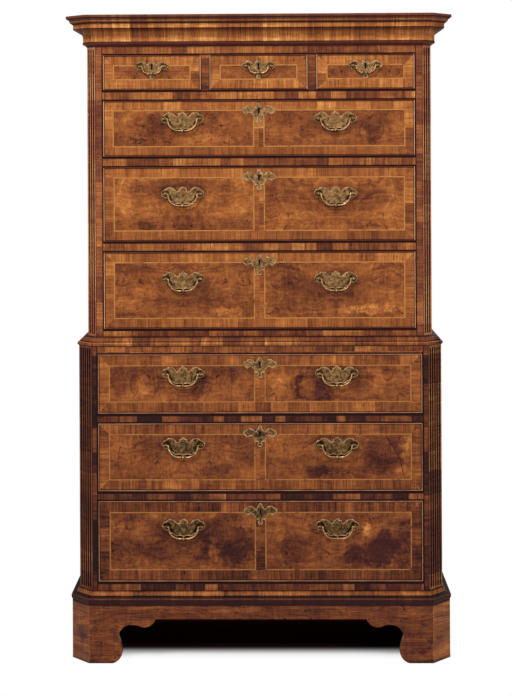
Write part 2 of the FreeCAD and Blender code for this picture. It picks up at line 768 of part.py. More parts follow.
def back_tails(drawer):
    back_y = drawer_back_y(drawer)
    return tails(drawer, back_y - DRAWER_BACK, back_y, bottom_height(drawer)[1], side_height(drawer)[1])


def drawer_bottom(drawer):
    """The thin bottom: tongued into the front and nailed up under the back."""
    inner = drawer.half_width - DRAWER_SIDE
    low, high = bottom_height(drawer)
    front_y = drawer.case.face_y + FRONT_BOARD - BOTTOM_TONGUE
    return box(drawer.x - inner, drawer.x + inner, front_y, drawer_back_y(drawer), low, high)


def drawer_box(drawer):
    """Two sides, the back, the bottom and a runner strip under each edge of the bottom."""
    face_y = drawer.case.face_y
    back_y = drawer_back_y(drawer)
    low, high = side_height(drawer)
    bottom_low, bottom_high = bottom_height(drawer)
    inner = drawer.half_width - DRAWER_SIDE
    front_dovetails, back_dovetails = front_tails(drawer), back_tails(drawer)
    back = box(drawer.x - drawer.half_width, drawer.x + drawer.half_width, back_y - DRAWER_BACK, back_y,
               bottom_high, high).cut(back_dovetails)
    solids = [back.Solids[0], drawer_bottom(drawer)]
    for sign in (-1, 1):
        edges = sorted((drawer.x + sign * inner, drawer.x + sign * drawer.half_width))
        plate = box(edges[0], edges[1], face_y + FRONT_BOARD, back_y - DRAWER_BACK, low, high)
        heel = box(edges[0], edges[1], back_y - DRAWER_BACK, back_y, low, bottom_high)
        own = [tail for tail in front_dovetails + back_dovetails
               if edges[0] < tail.CenterOfMass.x < edges[1]]
        solids.append(plate.fuse([heel] + own).removeSplitter().Solids[0])
        strip = sorted((drawer.x + sign * inner, drawer.x + sign * (inner - RUNNER_WIDTH)))
        solids.append(box(strip[0], strip[1], face_y + FRONT_BOARD, back_y, low, bottom_low))
    return solids


def keyhole(x, front_y, depth, axis_z):
    """The shape of a keyhole: a round top and a slot with a round foot."""
    top = axis_z + KEYHOLE_RISE
    foot = axis_z - KEYHOLE_SLOT_DROP + KEYHOLE_SLOT_WIDTH / 2
    round_top = Part.makeCylinder(KEYHOLE_RADIUS, depth, Vector(x, front_y, top), BACKWARD)
    round_foot = Part.makeCylinder(KEYHOLE_SLOT_WIDTH / 2, depth, Vector(x, front_y, foot), BACKWARD)
    slot = box(x - KEYHOLE_SLOT_WIDTH / 2, x + KEYHOLE_SLOT_WIDTH / 2, front_y, front_y + depth, foot, top)
    return [round_top, slot, round_foot]


def keyhole_height(drawer):
    return drawer.floor + FRONT_GAP + drawer.front - drawer.keyhole_drop


def handle_height(drawer):
    return drawer.floor + FRONT_GAP + drawer.front - drawer.handle_drop


def post_spread(drawer):
    return LONG_POST_SPREAD if len(drawer.handle_xs) > 1 else SMALL_POST_SPREAD


def post_places(drawer):
    spread = post_spread(drawer)
    return [x + sign * spread for x in drawer.handle_xs for sign in (-1, 1)]


def lock_spaces(drawer):
    """The two recesses that the lock is let into: its case and its face plate."""
    top = drawer.floor + FRONT_GAP + drawer.front
    back = drawer.case.face_y + FRONT_BOARD
    low = keyhole_height(drawer) - LOCK_BELOW_KEYHOLE
    half = LOCK_WIDTH / 2
    case = box(drawer.x - half, drawer.x + half, back - LOCK_DEPTH, back, low, top)
    plate = box(drawer.x - half - LOCK_FACE_LAP, drawer.x + half + LOCK_FACE_LAP, back - LOCK_DEPTH, back,
                top - LOCK_FACE_PLATE, top)
    return [case, plate]


def drawer_front(drawer):
    """The front board, cut for its bead, tails, bottom, lock, handle posts and keyhole."""
    face_y = drawer.case.face_y
    low = drawer.floor + FRONT_GAP
    high = low + drawer.front
    half = drawer.half_width
    shown = box(drawer.x - half + BEAD_THICKNESS, drawer.x + half - BEAD_THICKNESS, face_y,
                face_y + BEAD_DEPTH, low + BEAD_THICKNESS, high - BEAD_THICKNESS)
    behind = box(drawer.x - half, drawer.x + half, face_y + BEAD_DEPTH, face_y + FRONT_BOARD, low, high)
    holes = []
    for x in post_places(drawer):
        holes.append(Part.makeCylinder(POST_SHANK_RADIUS + POST_HOLE_CLEARANCE, FRONT_BOARD + 2 * OVERRUN,
                                       Vector(x, face_y - OVERRUN, handle_height(drawer)), BACKWARD))
    key = keyhole(drawer.x, face_y - OVERRUN, FRONT_BOARD - LOCK_DEPTH + 2 * OVERRUN, keyhole_height(drawer))
    cuts = front_tails(drawer) + [drawer_bottom(drawer)] + lock_spaces(drawer) + holes + key
    return [shown.fuse(behind).removeSplitter().cut(cuts).Solids[0]] + drawer_bead(drawer)


# Brasses

def plate_outline(rows, width, rise, drop):
    """Half of a back plate's outline in real sizes, from its crest down to its foot."""
    steps = []
    for row in rows:
        step = tuple((x * width / 2, z * (rise if z > 0 else drop)) for x, z in row)
        steps.append(step)
    return steps


def back_plate(x, z, face_y, rows, width, rise, drop, holes):
    """A scrolled plate: one half drawn, the other mirrored from it."""
    right = plate_outline(rows, width, rise, drop)
    start = right[0][0]
    left = []
    ends = [step[-1] for step in right]
    for index in range(len(right) - 1, 0, -1):
        middle, end = right[index][0], ends[index - 1]
        left.append(((-middle[0], middle[1]), (-end[0], end[1])))
    face = outline_face(start, right[1:] + left, lambda u, v: Vector(x + u, face_y - PLATE_THICKNESS, z + v))
    return face.extrude(BACKWARD * PLATE_THICKNESS).cut(holes).Solids[0]


def post(x, z, face_y):
    """A turned post: ball, neck and collar in front of the plate, and a shank through the wood."""
    ball_y = -POST_STANDOFF
    neck_y = ball_y + math.sqrt(POST_BALL_RADIUS ** 2 - POST_NECK_RADIUS ** 2)
    collar_y = -PLATE_THICKNESS - POST_COLLAR
    end_y = FRONT_BOARD + NUT_THICKNESS + SHANK_END
    steps = [((POST_BALL_RADIUS, ball_y), (POST_NECK_RADIUS, neck_y)),
             ((POST_NECK_RADIUS, collar_y),),
             ((POST_COLLAR_RADIUS, collar_y),),
             ((POST_COLLAR_RADIUS, -PLATE_THICKNESS),),
             ((POST_SHANK_RADIUS, -PLATE_THICKNESS),),
             ((POST_SHANK_RADIUS, end_y),),
             ((0, end_y),)]
    base = Vector(x, face_y, z)
    half = outline_face((0, ball_y - POST_BALL_RADIUS), steps, lambda r, d: base + Vector(r, d, 0))
    turned = half.revolve(base, BACKWARD, FULL_TURN)
    hole = Part.makeCylinder(BAIL_PIN_RADIUS + BAIL_PIN_CLEARANCE, 2 * (POST_BALL_RADIUS + OVERRUN),
                             Vector(x - POST_BALL_RADIUS - OVERRUN, face_y + ball_y, z), RIGHT)
    return turned.cut(hole).Solids[0]


def nut(x, z, face_y):
    y = face_y + FRONT_BOARD
    half = NUT_SIZE / 2
    blank = box(x - half, x + half, y, y + NUT_THICKNESS, z - half, z + half)
    return blank.cut(Part.makeCylinder(POST_SHANK_RADIUS, NUT_THICKNESS, Vector(x, y, z), BACKWARD))


def lock(drawer):
    """A lock case with its face plate, key pin and key well, and the bolt drawn down in it."""
    case, face_plate = lock_spaces(drawer)
    back = drawer.case.face_y + FRONT_BOARD
    front = back - LOCK_DEPTH
    key_z = keyhole_height(drawer) + KEYHOLE_RISE
    top = drawer.floor + FRONT_GAP + drawer.front
    well = Part.makeCylinder(KEY_WELL_RADIUS, KEY_WELL_DEPTH, Vector(drawer.x, front, key_z), BACKWARD)
    pin = Part.makeCylinder(KEY_PIN_RADIUS, KEY_WELL_DEPTH, Vector(drawer.x, front, key_z), BACKWARD)
    bolt_y = front + BOLT_SETBACK
    half = BOLT_WIDTH / 2
    bolt = box(drawer.x - half, drawer.x + half, bolt_y, bolt_y + BOLT_THICKNESS,
               key_z + KEY_WELL_RADIUS + BOLT_WALL, top)
    body = case.fuse(face_plate).removeSplitter().cut([well.cut(pin), bolt])
    return [body.Solids[0], bolt]


def drawer_brasses(drawer):
    """Back plates, posts and nuts, the escutcheon and the lock."""
    face_y = drawer.case.face_y
    handle_z, key_z = handle_height(drawer), keyhole_height(drawer)
    solids = []
    shanks = []
    for x in post_places(drawer):
        solids += [post(x, handle_z, face_y), nut(x, handle_z, face_y)]
        shanks.append(Part.makeCylinder(POST_SHANK_RADIUS, 2 * OVERRUN,
                                        Vector(x, face_y - OVERRUN, handle_z), BACKWARD))
    key = keyhole(drawer.x, face_y - OVERRUN, 2 * OVERRUN, key_z)
    if len(drawer.handle_xs) > 1:
        for x in drawer.handle_xs:
            solids.append(back_plate(x, handle_z, face_y, LONG_PLATE_SHARES, LONG_PLATE_WIDTH,
                                     LONG_PLATE_RISE, LONG_PLATE_DROP, shanks))
    solids.append(back_plate(drawer.x, key_z, face_y, SMALL_PLATE_SHARES, SMALL_PLATE_WIDTH,
                             SMALL_PLATE_RISE, SMALL_PLATE_DROP, key + shanks))
    return solids + lock(drawer)


def bent_rod(start, tangent, bend_centre, bend_axis):
    """A quarter bend of round rod."""
    circle = Part.makeCircle(BAIL_ROD_RADIUS, start, tangent)
    return Part.Face(Part.Wire(circle)).revolve(bend_centre, bend_axis, QUARTER_TURN)


def bail(x, z, face_y, spread, drop):
    """A hanging bail: pins through the posts, a bend and a quarter sweep each side, and a knop."""
    y = face_y - POST_STANDOFF
    pin_start = spread - POST_BALL_RADIUS - BAIL_SIDE_CLEARANCE
    arm = pin_start - BAIL_BEND
    sweep = drop - BAIL_BEND
    level = z - drop
    straight = arm - sweep
    knop = BAIL_KNOP_WIDTH / 2
    steps = [((straight, BAIL_ROD_RADIUS),),
             ((knop, BAIL_SWELL_RADIUS),),
             ((knop, BAIL_KNOP_SHOULDER),),
             ((0, BAIL_KNOP_RADIUS), (-knop, BAIL_KNOP_SHOULDER)),
             ((-knop, BAIL_SWELL_RADIUS),),
             ((-straight, BAIL_ROD_RADIUS),),
             ((-straight, 0),)]
    axis = Vector(x, y, level)
    half = outline_face((straight, 0), steps, lambda u, r: axis + Vector(u, 0, r))
    middle = half.revolve(axis, RIGHT, FULL_TURN)
    parts = []
    for sign in (-1, 1):
        foot = Vector(x + sign * straight, y, level)
        parts.append(bent_rod(foot, RIGHT, foot + UP * sweep, BACKWARD * -sign))
        shoulder = Vector(x + sign * arm, y, z - BAIL_BEND)
        bend_centre = shoulder + RIGHT * sign * BAIL_BEND
        parts.append(bent_rod(shoulder, UP, bend_centre, BACKWARD * sign))
        end = spread + POST_BALL_RADIUS + BAIL_PIN_END
        parts.append(Part.makeCylinder(BAIL_PIN_RADIUS, end - pin_start,
                                       Vector(x + sign * pin_start, y, z), RIGHT * sign))
    return middle.fuse(parts).removeSplitter().Solids[0]


def make_drawers():
    """Every drawer of both cases, with its place, its height and its handles."""
    drawers = []
    long_drawers = [
        ("lower_third", LOWER, 0, LOWER_THIRD_HANDLE_DROP),
        ("lower_second", LOWER, 1, LOWER_SECOND_HANDLE_DROP),
        ("lower_first", LOWER, 2, LOWER_FIRST_HANDLE_DROP),
        ("upper_third", UPPER, 0, UPPER_THIRD_HANDLE_DROP),
        ("upper_second", UPPER, 1, UPPER_SECOND_HANDLE_DROP),
        ("upper_first", UPPER, 2, UPPER_FIRST_HANDLE_DROP),
    ]
    for name, case, level, handle_drop in long_drawers:
        drawers.append(Drawer(name, case, 0, opening_half(case) - FRONT_GAP, case.floors[level],
                              case.fronts[level], (-HANDLE_OFFSET, HANDLE_OFFSET), handle_drop,
                              KEYHOLE_DROP))
    pitch = muntin_middle() * 2
    half_width = (pitch - MUNTIN) / 2 - FRONT_GAP
    for name, x in (("short_left", -pitch), ("short_centre", 0), ("short_right", pitch)):
        drawers.append(Drawer(name, UPPER, x, half_width, UPPER.floors[-1], SHORT_FRONT, (x,),
                              SHORT_HANDLE_DROP, SHORT_HANDLE_DROP))
    return drawers


def save_drawer(drawer):
    save(f"{drawer.name}_drawer_front", drawer_front(drawer))
    save(f"{drawer.name}_drawer_box", drawer_box(drawer))
    save(f"{drawer.name}_drawer_brasses", drawer_brasses(drawer))
    names = ("bail_left", "bail_right") if len(drawer.handle_xs) > 1 else ("bail",)
    for name, x in zip(names, drawer.handle_xs):
        drop = LONG_BAIL_DROP if len(drawer.handle_xs) > 1 else SMALL_BAIL_DROP
        save(f"{drawer.name}_drawer_{name}",
             [bail(x, handle_height(drawer), drawer.case.face_y, post_spread(drawer), drop)])


def save_case(case, flutes, flute_low, flute_high, drawers, extra_rails, extra_boards):
    """The posts, sides, boards and rails of one case."""
    boards, dust, rails = case_boards(case), dust_boards(case), case_rails(case)
    stops = [stop for drawer in drawers if drawer.case is case for stop in drawer_stops(drawer)]
    save(f"{case.name}_corner_posts", corner_posts(case, flutes, flute_low, flute_high, rails))
    save(f"{case.name}_case_sides", case_sides(case, boards + dust))
    save(f"{case.name}_case_back_boards", back_boards(case))
    save(f"{case.name}_drawer_rails", rails + extra_rails + stops)
    save(f"{case.name}_dustboards_and_guides", dust + guides(case) + extra_boards)
    return boards


drawers = make_drawers()
for drawer in drawers:
    save_drawer(drawer)

lower_boards = save_case(LOWER, LOWER_FLUTES, FOOT_HEIGHT + BASE_HEIGHT + FLUTE_STOP,
                         LOWER.top - WAIST_OVERLAP - FLUTE_STOP, drawers, [], [])
upper_boards = save_case(UPPER, UPPER_FLUTES, LOWER.top + WAIST_RISE + FLUTE_STOP,
                         UPPER.top - NECKING_HEIGHT - FLUTE_STOP, drawers, muntins(), muntin_guides())
save("lower_case_top_and_bottom_boards", lower_boards)
save("upper_case_top_and_bottom_boards", upper_boards + [dust_top()])
save("cornice_crown_moulding", crown_moulding() + [cornice_back_rail()])
save("cornice_frieze_and_necking", frieze_moulding() + necking_moulding())
save("waist_moulding", waist_moulding())
save("base_moulding", base_moulding())
save("bracket_feet", bracket_feet())
save("foot_glue_blocks", glue_blocks())
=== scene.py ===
# A walnut tallboy: two veneered chests of drawers, one standing on the other, under a moulded cornice. The
# imported model is the woodwork and the brasses; this file gives each piece its finish, with iron nail
# heads painted on the back boards, and adds rims, punch marks and a dark line of old wax and painted
# shadow round the brass plates, then sets it on a pale floor for the camera.
import math

import bmesh
import bpy
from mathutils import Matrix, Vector


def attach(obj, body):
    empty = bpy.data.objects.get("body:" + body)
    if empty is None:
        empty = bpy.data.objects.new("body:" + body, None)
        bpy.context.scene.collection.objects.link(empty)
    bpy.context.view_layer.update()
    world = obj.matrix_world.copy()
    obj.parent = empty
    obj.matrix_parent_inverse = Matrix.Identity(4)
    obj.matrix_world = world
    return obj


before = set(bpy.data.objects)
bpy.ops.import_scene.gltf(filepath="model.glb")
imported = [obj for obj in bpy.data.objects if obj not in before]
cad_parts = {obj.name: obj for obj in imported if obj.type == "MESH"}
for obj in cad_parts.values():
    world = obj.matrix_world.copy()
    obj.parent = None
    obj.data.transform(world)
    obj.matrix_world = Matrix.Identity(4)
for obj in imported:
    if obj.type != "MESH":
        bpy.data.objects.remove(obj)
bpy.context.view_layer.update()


# Pine boards.
# The tops, bottoms, dustboards, back boards and glue blocks are sawn pine, nailed and glued in
# place and never polished, so they have gone brown and dusty with age.

MM = 1000.0


class Reading:
    """A number read at each point of a surface, to be added to, scaled and compared."""

    def __init__(self, finish, socket):
        self.finish = finish
        self.socket = socket

    def __add__(self, other):
        return self.finish.work("ADD", self, other)

    __radd__ = __add__

    def __sub__(self, other):
        return self.finish.work("SUBTRACT", self, other)

    def __rsub__(self, other):
        return self.finish.work("SUBTRACT", other, self)

    def __mul__(self, other):
        return self.finish.work("MULTIPLY", self, other)

    __rmul__ = __mul__

    def __truediv__(self, other):
        return self.finish.work("DIVIDE", self, other)

    def __abs__(self):
        return self.finish.work("ABSOLUTE", self)

    def sign(self):
        return self.finish.work("SIGN", self)

    def least(self, other):
        return self.finish.work("MINIMUM", self, other)

    def most(self, other):
        return self.finish.work("MAXIMUM", self, other)

    def above(self, edge, blur=0.2):
        """1 where the reading is over the edge, 0 where it is under, blurred between."""
        node = self.finish.add("ShaderNodeMapRange")
        node.interpolation_type = "SMOOTHSTEP"
        self.finish.feed(node.inputs["Value"], self)
        node.inputs["From Min"].default_value = edge - blur / 2
        node.inputs["From Max"].default_value = edge + blur / 2
        return Reading(self.finish, node.outputs["Result"])

    def under(self, edge, blur=0.2):
        return 1 - self.above(edge, blur)


class Finish:
    """One material. Its x, y and z read the model's own place in millimetres."""

    def __init__(self, name):
        self.material = bpy.data.materials.new(name)
        self.material.use_nodes = True
        self.tree = self.material.node_tree
        self.surface = self.tree.nodes["Principled BSDF"]
        place = self.add("ShaderNodeTexCoord")
        self.x, self.y, self.z = [axis * MM for axis in self.split(place.outputs["Object"])]
        self.facing = self.split(place.outputs["Normal"])

    def add(self, kind):
        return self.tree.nodes.new(kind)

    def feed(self, socket, value):
        if isinstance(value, Reading):
            value = value.socket
        if isinstance(value, bpy.types.NodeSocket):
            self.tree.links.new(value, socket)
        else:
            socket.default_value = value

    def split(self, vector):
        node = self.add("ShaderNodeSeparateXYZ")
        self.tree.links.new(vector, node.inputs[0])
        return [Reading(self, socket) for socket in node.outputs]

    def work(self, operation, *values):
        node = self.add("ShaderNodeMath")
        node.operation = operation
        for socket, value in zip(node.inputs, values):
            self.feed(socket, value)
        return Reading(self, node.outputs[0])

    def point(self, *values):
        node = self.add("ShaderNodeCombineXYZ")
        for socket, value in zip(node.inputs, values):
            self.feed(socket, value)
        return node.outputs[0]

    def cloud(self, a, b, c, detail=2.0):
        """Soft noise about 0, of the size that the three readings were divided by."""
        node = self.add("ShaderNodeTexNoise")
        self.tree.links.new(self.point(a, b, c), node.inputs["Vector"])
        node.inputs["Scale"].default_value = 1.0
        node.inputs["Detail"].default_value = detail
        return Reading(self, node.outputs[0]) - 0.5

    def spots(self, a, b, c):
        """Distance from the nearest of a scatter of points, one in each step of the readings."""
        node = self.add("ShaderNodeTexVoronoi")
        self.tree.links.new(self.point(a, b, c), node.inputs["Vector"])
        node.inputs["Scale"].default_value = 1.0
        return Reading(self, node.outputs["Distance"])

    def chance(self, number, salt=0.0):
        """A random number from 0 to 1 for each different number."""
        node = self.add("ShaderNodeTexWhiteNoise")
        node.noise_dimensions = "1D"
        self.feed(node.inputs["W"], number + salt)
        return Reading(self, node.outputs["Value"])

    def lengths(self, along, length, seed=0.0, evenness=0.25):
        """Cuts a run into lengths: which length a point is on, and its distance from the joint."""
        found = []
        for feature, output in (("F1", "W"), ("DISTANCE_TO_EDGE", "Distance")):
            node = self.add("ShaderNodeTexVoronoi")
            node.voronoi_dimensions = "1D"
            node.feature = feature
            self.feed(node.inputs["W"], along / length + seed)
            node.inputs["Scale"].default_value = 1.0
            node.inputs["Randomness"].default_value = 1 - evenness
            found.append(Reading(self, node.outputs[output]))
        return found[0], found[1] * length

    def blend(self, amount, first, second):
        """The first reading where amount is 0, the second where it is 1."""
        return first + (second - first) * amount

    def shades(self, reading, steps):
        node = self.add("ShaderNodeValToRGB")
        self.feed(node.inputs["Fac"], reading)
        ramp = node.color_ramp
        while len(ramp.elements) < len(steps):
            ramp.elements.new(1.0)
        for element, (position, colour) in zip(ramp.elements, steps):
            element.position = position
            element.color = paint(colour)
        return node.outputs["Color"]

    def stain(self, amount, colour, second):
        node = self.add("ShaderNodeMix")
        node.data_type = "RGBA"
        self.feed(node.inputs[0], amount)
        self.feed(node.inputs[6], colour)
        self.feed(node.inputs[7], paint(second) if isinstance(second, tuple) else second)
        return node.outputs[2]

    def lay(self, colour, roughness, height=None):
        """Puts the colour, the roughness and the relief, in millimetres, on the surface."""
        self.feed(self.surface.inputs["Base Color"], colour)
        self.feed(self.surface.inputs["Roughness"], roughness)
        if height is not None:
            bump = self.add("ShaderNodeBump")
            bump.inputs["Distance"].default_value = 1.0
            self.feed(bump.inputs["Height"], height * (1 / MM))
            self.feed(self.surface.inputs["Normal"], bump.outputs["Normal"])


def paint(colour):
    """A colour as it is seen, 0 to 255, as the renderer's linear one."""
    channels = []
    for value in colour:
        share = value / 255
        channels.append(share / 12.92 if share <= 0.04045 else ((share + 0.055) / 1.055) ** 2.4)
    return (*channels, 1.0)


def give(finish, *names):
    for name in names:
        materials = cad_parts[name].data.materials
        materials.clear()
        materials.append(finish.material)


PINE_SHADES = [(0.0, (44, 27, 16)), (0.3, (98, 66, 38)), (0.6, (138, 98, 59)), (1.0, (184, 142, 92))]
PINE_RING = 8.0
KNOT_RADIUS = 8.0
GLUED_BOARD = 170.0
BACK_BOARDS = {"upper": 238.7, "lower": 251.4}
CASE_JOIN = 905.0
NAIL_ROWS = (214, 470, 691, 893, 932, 1186, 1430, 1620, 1756)
NAIL_INSET = 32.0
NAIL_HEAD = 4.2
IRON = (46, 38, 34)


def pine(name, along, across, depth):
    """Aged pine; the three letters say which axis runs with the grain, across it and through."""
    wood = Finish(name)
    axes = {"x": wood.x, "y": wood.y, "z": wood.z}
    run, width, thick = axes[along], axes[across], axes[depth]
    pitch = GLUED_BOARD
    if along == "z":
        pitch = wood.blend(wood.z.above(CASE_JOIN, 0.1), BACK_BOARDS["lower"], BACK_BOARDS["upper"])
    place = width / pitch
    board = wood.work("FLOOR", place)
    from_joint = (0.5 - abs(place - board - 0.5)) * pitch
    board = board + wood.z.above(CASE_JOIN, 0.1) * 9.7
    knot = wood.spots(run / 300, width / 90, board * 3.1) * 90
    round_knot = (knot / 20).least(1) - 1
    wave = wood.cloud(run / 520, width / 190, board, 1) * 60 + round_knot * 22
    ring = wood.cloud((width + wave) / PINE_RING, run / 1600, thick / 14 + board, 2)
    fine = wood.cloud((width + wave) / 2.2, run / 160, thick / 3, 2)
    saw = wood.cloud(run / 2.6, width / 60, board, 1)
    dust = wood.cloud(run / 120, width / 120, thick / 60, 3)
    stain = wood.cloud(run / 420, width / 160, board, 3)
    shade = (wood.chance(board) - 0.5) * 0.22
    tone = 0.46 + ring * 0.8 + fine * 0.5 + saw * 0.14 + dust * 0.5 + stain * 0.5 + shade
    tone = tone - knot.under(KNOT_RADIUS, 4) * 0.36 - from_joint.under(1.1, 1.0) * 0.5
    return wood, tone, saw * 0.12 + ring * 0.1, dust


def finish_pine(wood, colour, relief, dust):
    wood.lay(colour, 0.82 + dust * 0.25, relief)
    wood.surface.inputs["Specular IOR Level"].default_value = 0.2


def sawn_pine():
    wood, tone, relief, dust = pine("sawn_pine_boards", "x", "y", "z")
    finish_pine(wood, wood.shades(tone, PINE_SHADES), relief, dust)
    return wood


def nailed_back_pine():
    """The upright back boards, with a nail near each edge of a board at every shelf."""
    wood, tone, relief, dust = pine("nailed_pine_back", "z", "x", "y")
    pitch = wood.blend(wood.z.above(CASE_JOIN, 0.1), BACK_BOARDS["lower"], BACK_BOARDS["upper"])
    place = wood.x / pitch
    in_board = (place - wood.work("FLOOR", place) - 0.5) * pitch
    aside = abs(in_board) - pitch / 2 + NAIL_INSET
    away = wood.z * 0 + 900
    for row in NAIL_ROWS:
        away = away.least(abs(wood.z - row + wood.cloud(wood.x / 90, 0.0, row, 1) * 16))
    reach = wood.work("SQRT", aside * aside + away * away)
    head = reach.under(NAIL_HEAD, 0.8)
    rust = reach.under(NAIL_HEAD + 5, 9) * 0.7
    colour = wood.stain(rust, wood.shades(tone, PINE_SHADES), (52, 30, 18))
    colour = wood.stain(head, colour, IRON)
    finish_pine(wood, colour, relief + head * 0.8, dust)
    return wood


board_pine = sawn_pine()
give(board_pine, "upper_case_top_and_bottom_boards", "lower_case_top_and_bottom_boards",
     "upper_dustboards_and_guides", "lower_dustboards_and_guides", "foot_glue_blocks")
give(nailed_back_pine(), "upper_case_back_boards", "lower_case_back_boards")


# Oak drawer boxes.
# Thin quarter-sawn oak sides, back and bottom, dovetailed together and to the pine front board,
# with runner strips glued under the sides; waxed by hands at the top edges only.

OAK_SHADES = [(0.0, (54, 34, 20)), (0.35, (112, 76, 42)), (0.65, (156, 112, 66)), (1.0, (204, 162, 108))]
DRAWER_NAMES = ["short_left", "short_centre", "short_right", "upper_first", "upper_second",
                "upper_third", "lower_first", "lower_second", "lower_third"]


def box_oak():
    wood = Finish("quartered_oak")
    side_on = abs(wood.facing[0]).above(0.7, 0.1)
    flat = abs(wood.facing[2]).above(0.7, 0.1)
    run = wood.blend((side_on + flat).least(1), wood.x, wood.y)
    width = wood.blend(flat, wood.z, wood.x)
    ring = wood.cloud(width / 5, run / 420, wood.z / 50, 2)
    fleck = wood.cloud(width / 3.0, run / 14, wood.x / 300, 1).above(0.12, 0.08)
    pore = wood.cloud(width / 0.7, run / 10, wood.z / 30, 1).above(0.14, 0.08)
    dust = wood.cloud(wood.x / 110, wood.y / 110, wood.z / 70, 3)
    tone = 0.5 + ring * 1.0 + fleck * 0.1 - pore * 0.16 + dust * 0.55
    wood.lay(wood.shades(tone, OAK_SHADES), 0.68 + dust * 0.2 - fleck * 0.08, ring * 0.06 - pore * 0.1)
    wood.surface.inputs["Specular IOR Level"].default_value = 0.3
    return wood


oak = box_oak()
give(oak, *[f"{name}_drawer_box" for name in DRAWER_NAMES])


# Walnut case sides.
# Each side is a pine board covered with upright leaves of walnut veneer, opened like a book so
# that neighbours mirror each other, glued down, scraped and waxed.

WALNUT_SHADES = [(0.0, (10, 4, 3)), (0.15, (43, 17, 11)), (0.3, (79, 37, 21)), (0.45, (107, 57, 29)),
                 (0.6, (136, 77, 37)), (0.75, (166, 100, 48)), (0.9, (198, 136, 70)),
                 (1.0, (226, 174, 102))]
PURPLE_WALNUT = (74, 32, 30)
SIDE_LEAF = 118.0
WAX_SHINE = 0.11
SIDE_SHINE = 0.04
UPPER_START = 909.0


def straight_walnut(wood, along, across, leaf, waviness=6.0):
    """Tone and relief of plain walnut whose grain runs along one reading."""
    bend = wood.cloud(along / 130, across / 60, leaf, 2) * waviness * 6
    run = across + bend
    band = wood.cloud(run / 13, along / 300, leaf + 7.3, 3)
    line = wood.cloud(run / 2.3, along / 70, leaf + 3.1, 2)
    pore = wood.cloud(run / 0.7, along / 10, leaf + 1.7, 1).above(0.13, 0.08)
    curl = wood.cloud(run / 45, along / 9, leaf + 5.9, 2)
    crack = wood.cloud(run / 3.4, along / 26, leaf + 9.2, 1).above(0.21, 0.05)
    tone = band * 0.5 + line * 0.62 + curl * 0.3 - pore * 0.12 - crack * 0.26
    return tone, line * 0.03 - pore * 0.05 - crack * 0.08


def polish(wood, tone, relief, dirt_and_shade=0.0, purple=None, dullness=0.40, cast=PURPLE_WALNUT):
    """Waxed walnut: shades by tone, darker and duller where its dirt reading asks, for brown grime and for
    painted shade, a purple or other cast if asked.
    """
    wear = wood.cloud(wood.x / 60, wood.y / 60 + 4.2, wood.z / 60, 3)
    colour = wood.shades(tone - dirt_and_shade + wear * 0.14, WALNUT_SHADES)
    if purple is not None:
        colour = wood.stain(purple, colour, cast)
    wood.lay(colour, dullness + wear * 0.22 + dirt_and_shade * 0.5, relief)
    wood.surface.inputs["Specular IOR Level"].default_value = WAX_SHINE
    return colour


def side_walnut():
    wood = Finish("veneered_side_walnut")
    leaf = wood.work("FLOOR", wood.y / SIDE_LEAF + 0.5)
    inside = wood.y - leaf * SIDE_LEAF
    mirrored = inside * (wood.work("FLOORED_MODULO", leaf, 2.0) * 2 - 1)
    flank = wood.x.sign() * 4.1 + wood.z.above(UPPER_START, 1) * 2.3
    tone, relief = straight_walnut(wood, wood.z, mirrored, flank, 9)
    joint = (abs(inside) - SIDE_LEAF / 2).above(-0.5, 0.4)
    low = wood.z.under(900, 700)
    polish(wood, 0.58 + tone * 1.2 - joint * 0.2 - low * 0.10, relief)
    wood.surface.inputs["Specular IOR Level"].default_value = SIDE_SHINE
    return wood


side_veneer = side_walnut()
give(side_veneer, "upper_case_sides", "lower_case_sides")


# Bracket feet.
# Thick walnut boards sawn to a curved bracket, mitred at the canted corners and glued to the
# blocks behind them; the grain runs level, and the bottom edges are bruised and dark.

FOOT_CANT_START, FOOT_CANT_END = 214.8, 321.2
FOOT_TOP = 161.5


def foot_walnut():
    wood = Finish("solid_foot_walnut")
    spread = abs(wood.x) + wood.y
    start, end = FOOT_CANT_START, FOOT_CANT_END
    cant = spread.above(start, 0.3) * spread.under(end, 0.3)
    arris = abs(spread - start).under(1.3, 1.2).most(abs(spread - end).under(1.3, 1.2))
    side_on = abs(wood.facing[0]).above(0.8, 0.1)
    along = wood.blend(side_on, wood.x, wood.y)
    board = wood.x.sign() * 3.7 + side_on * 2.2 + cant * 1.3
    tone, relief = straight_walnut(wood, along, wood.z, board, 12)
    knot = wood.cloud(along / 15, wood.z / 9, board, 2).above(0.20, 0.06)
    patch = wood.cloud(along / 70, wood.z / 40, board + 9, 3)
    level = wood.cloud(along / 90, wood.z / 3.2, board + 2, 2)
    bruise = wood.cloud(along / 34, wood.z / 26, board + 6, 3).above(0.12, 0.12) * wood.z.under(90, 80)
    edge = wood.z.under(7, 9)
    top = wood.z.above(FOOT_TOP, 3)
    # Painted light: lighter on the canted corners, most on the right one, and a little lighter towards the
    # outer ends.
    light = cant * (0.06 + wood.x.above(0, 1) * 0.10) + abs(wood.x).above(350, 90) * 0.05
    tone = 0.405 + tone * 0.9 + patch * 0.40 + level * 0.40 + light - knot * 0.34 - bruise * 0.26
    # Painted highlight: a light line along the arrises of the cants.
    tone = tone + arris * (0.16 + patch * 0.5)
    # Darker at the bottom edges, which are bruised, and at the top under the base moulding.
    polish(wood, tone, relief, edge * 0.22 + top * 0.3, 0.14 - patch * 0.8 + bruise * 0.4)
    return wood


give(foot_walnut(), "bracket_feet")


# Base, waist and cornice mouldings.
# Short lengths of walnut, their grain running up and down across the moulding, glued side by
# side on pine cores, scraped to shape and mitred at the canted corners.

FASCIA_TOP, CYMA_TOP = 1817.4, 1832.6
NECKING_TOP = 1765.4
NOSE_TOP = 906.5
TORUS_TOP = 186.5


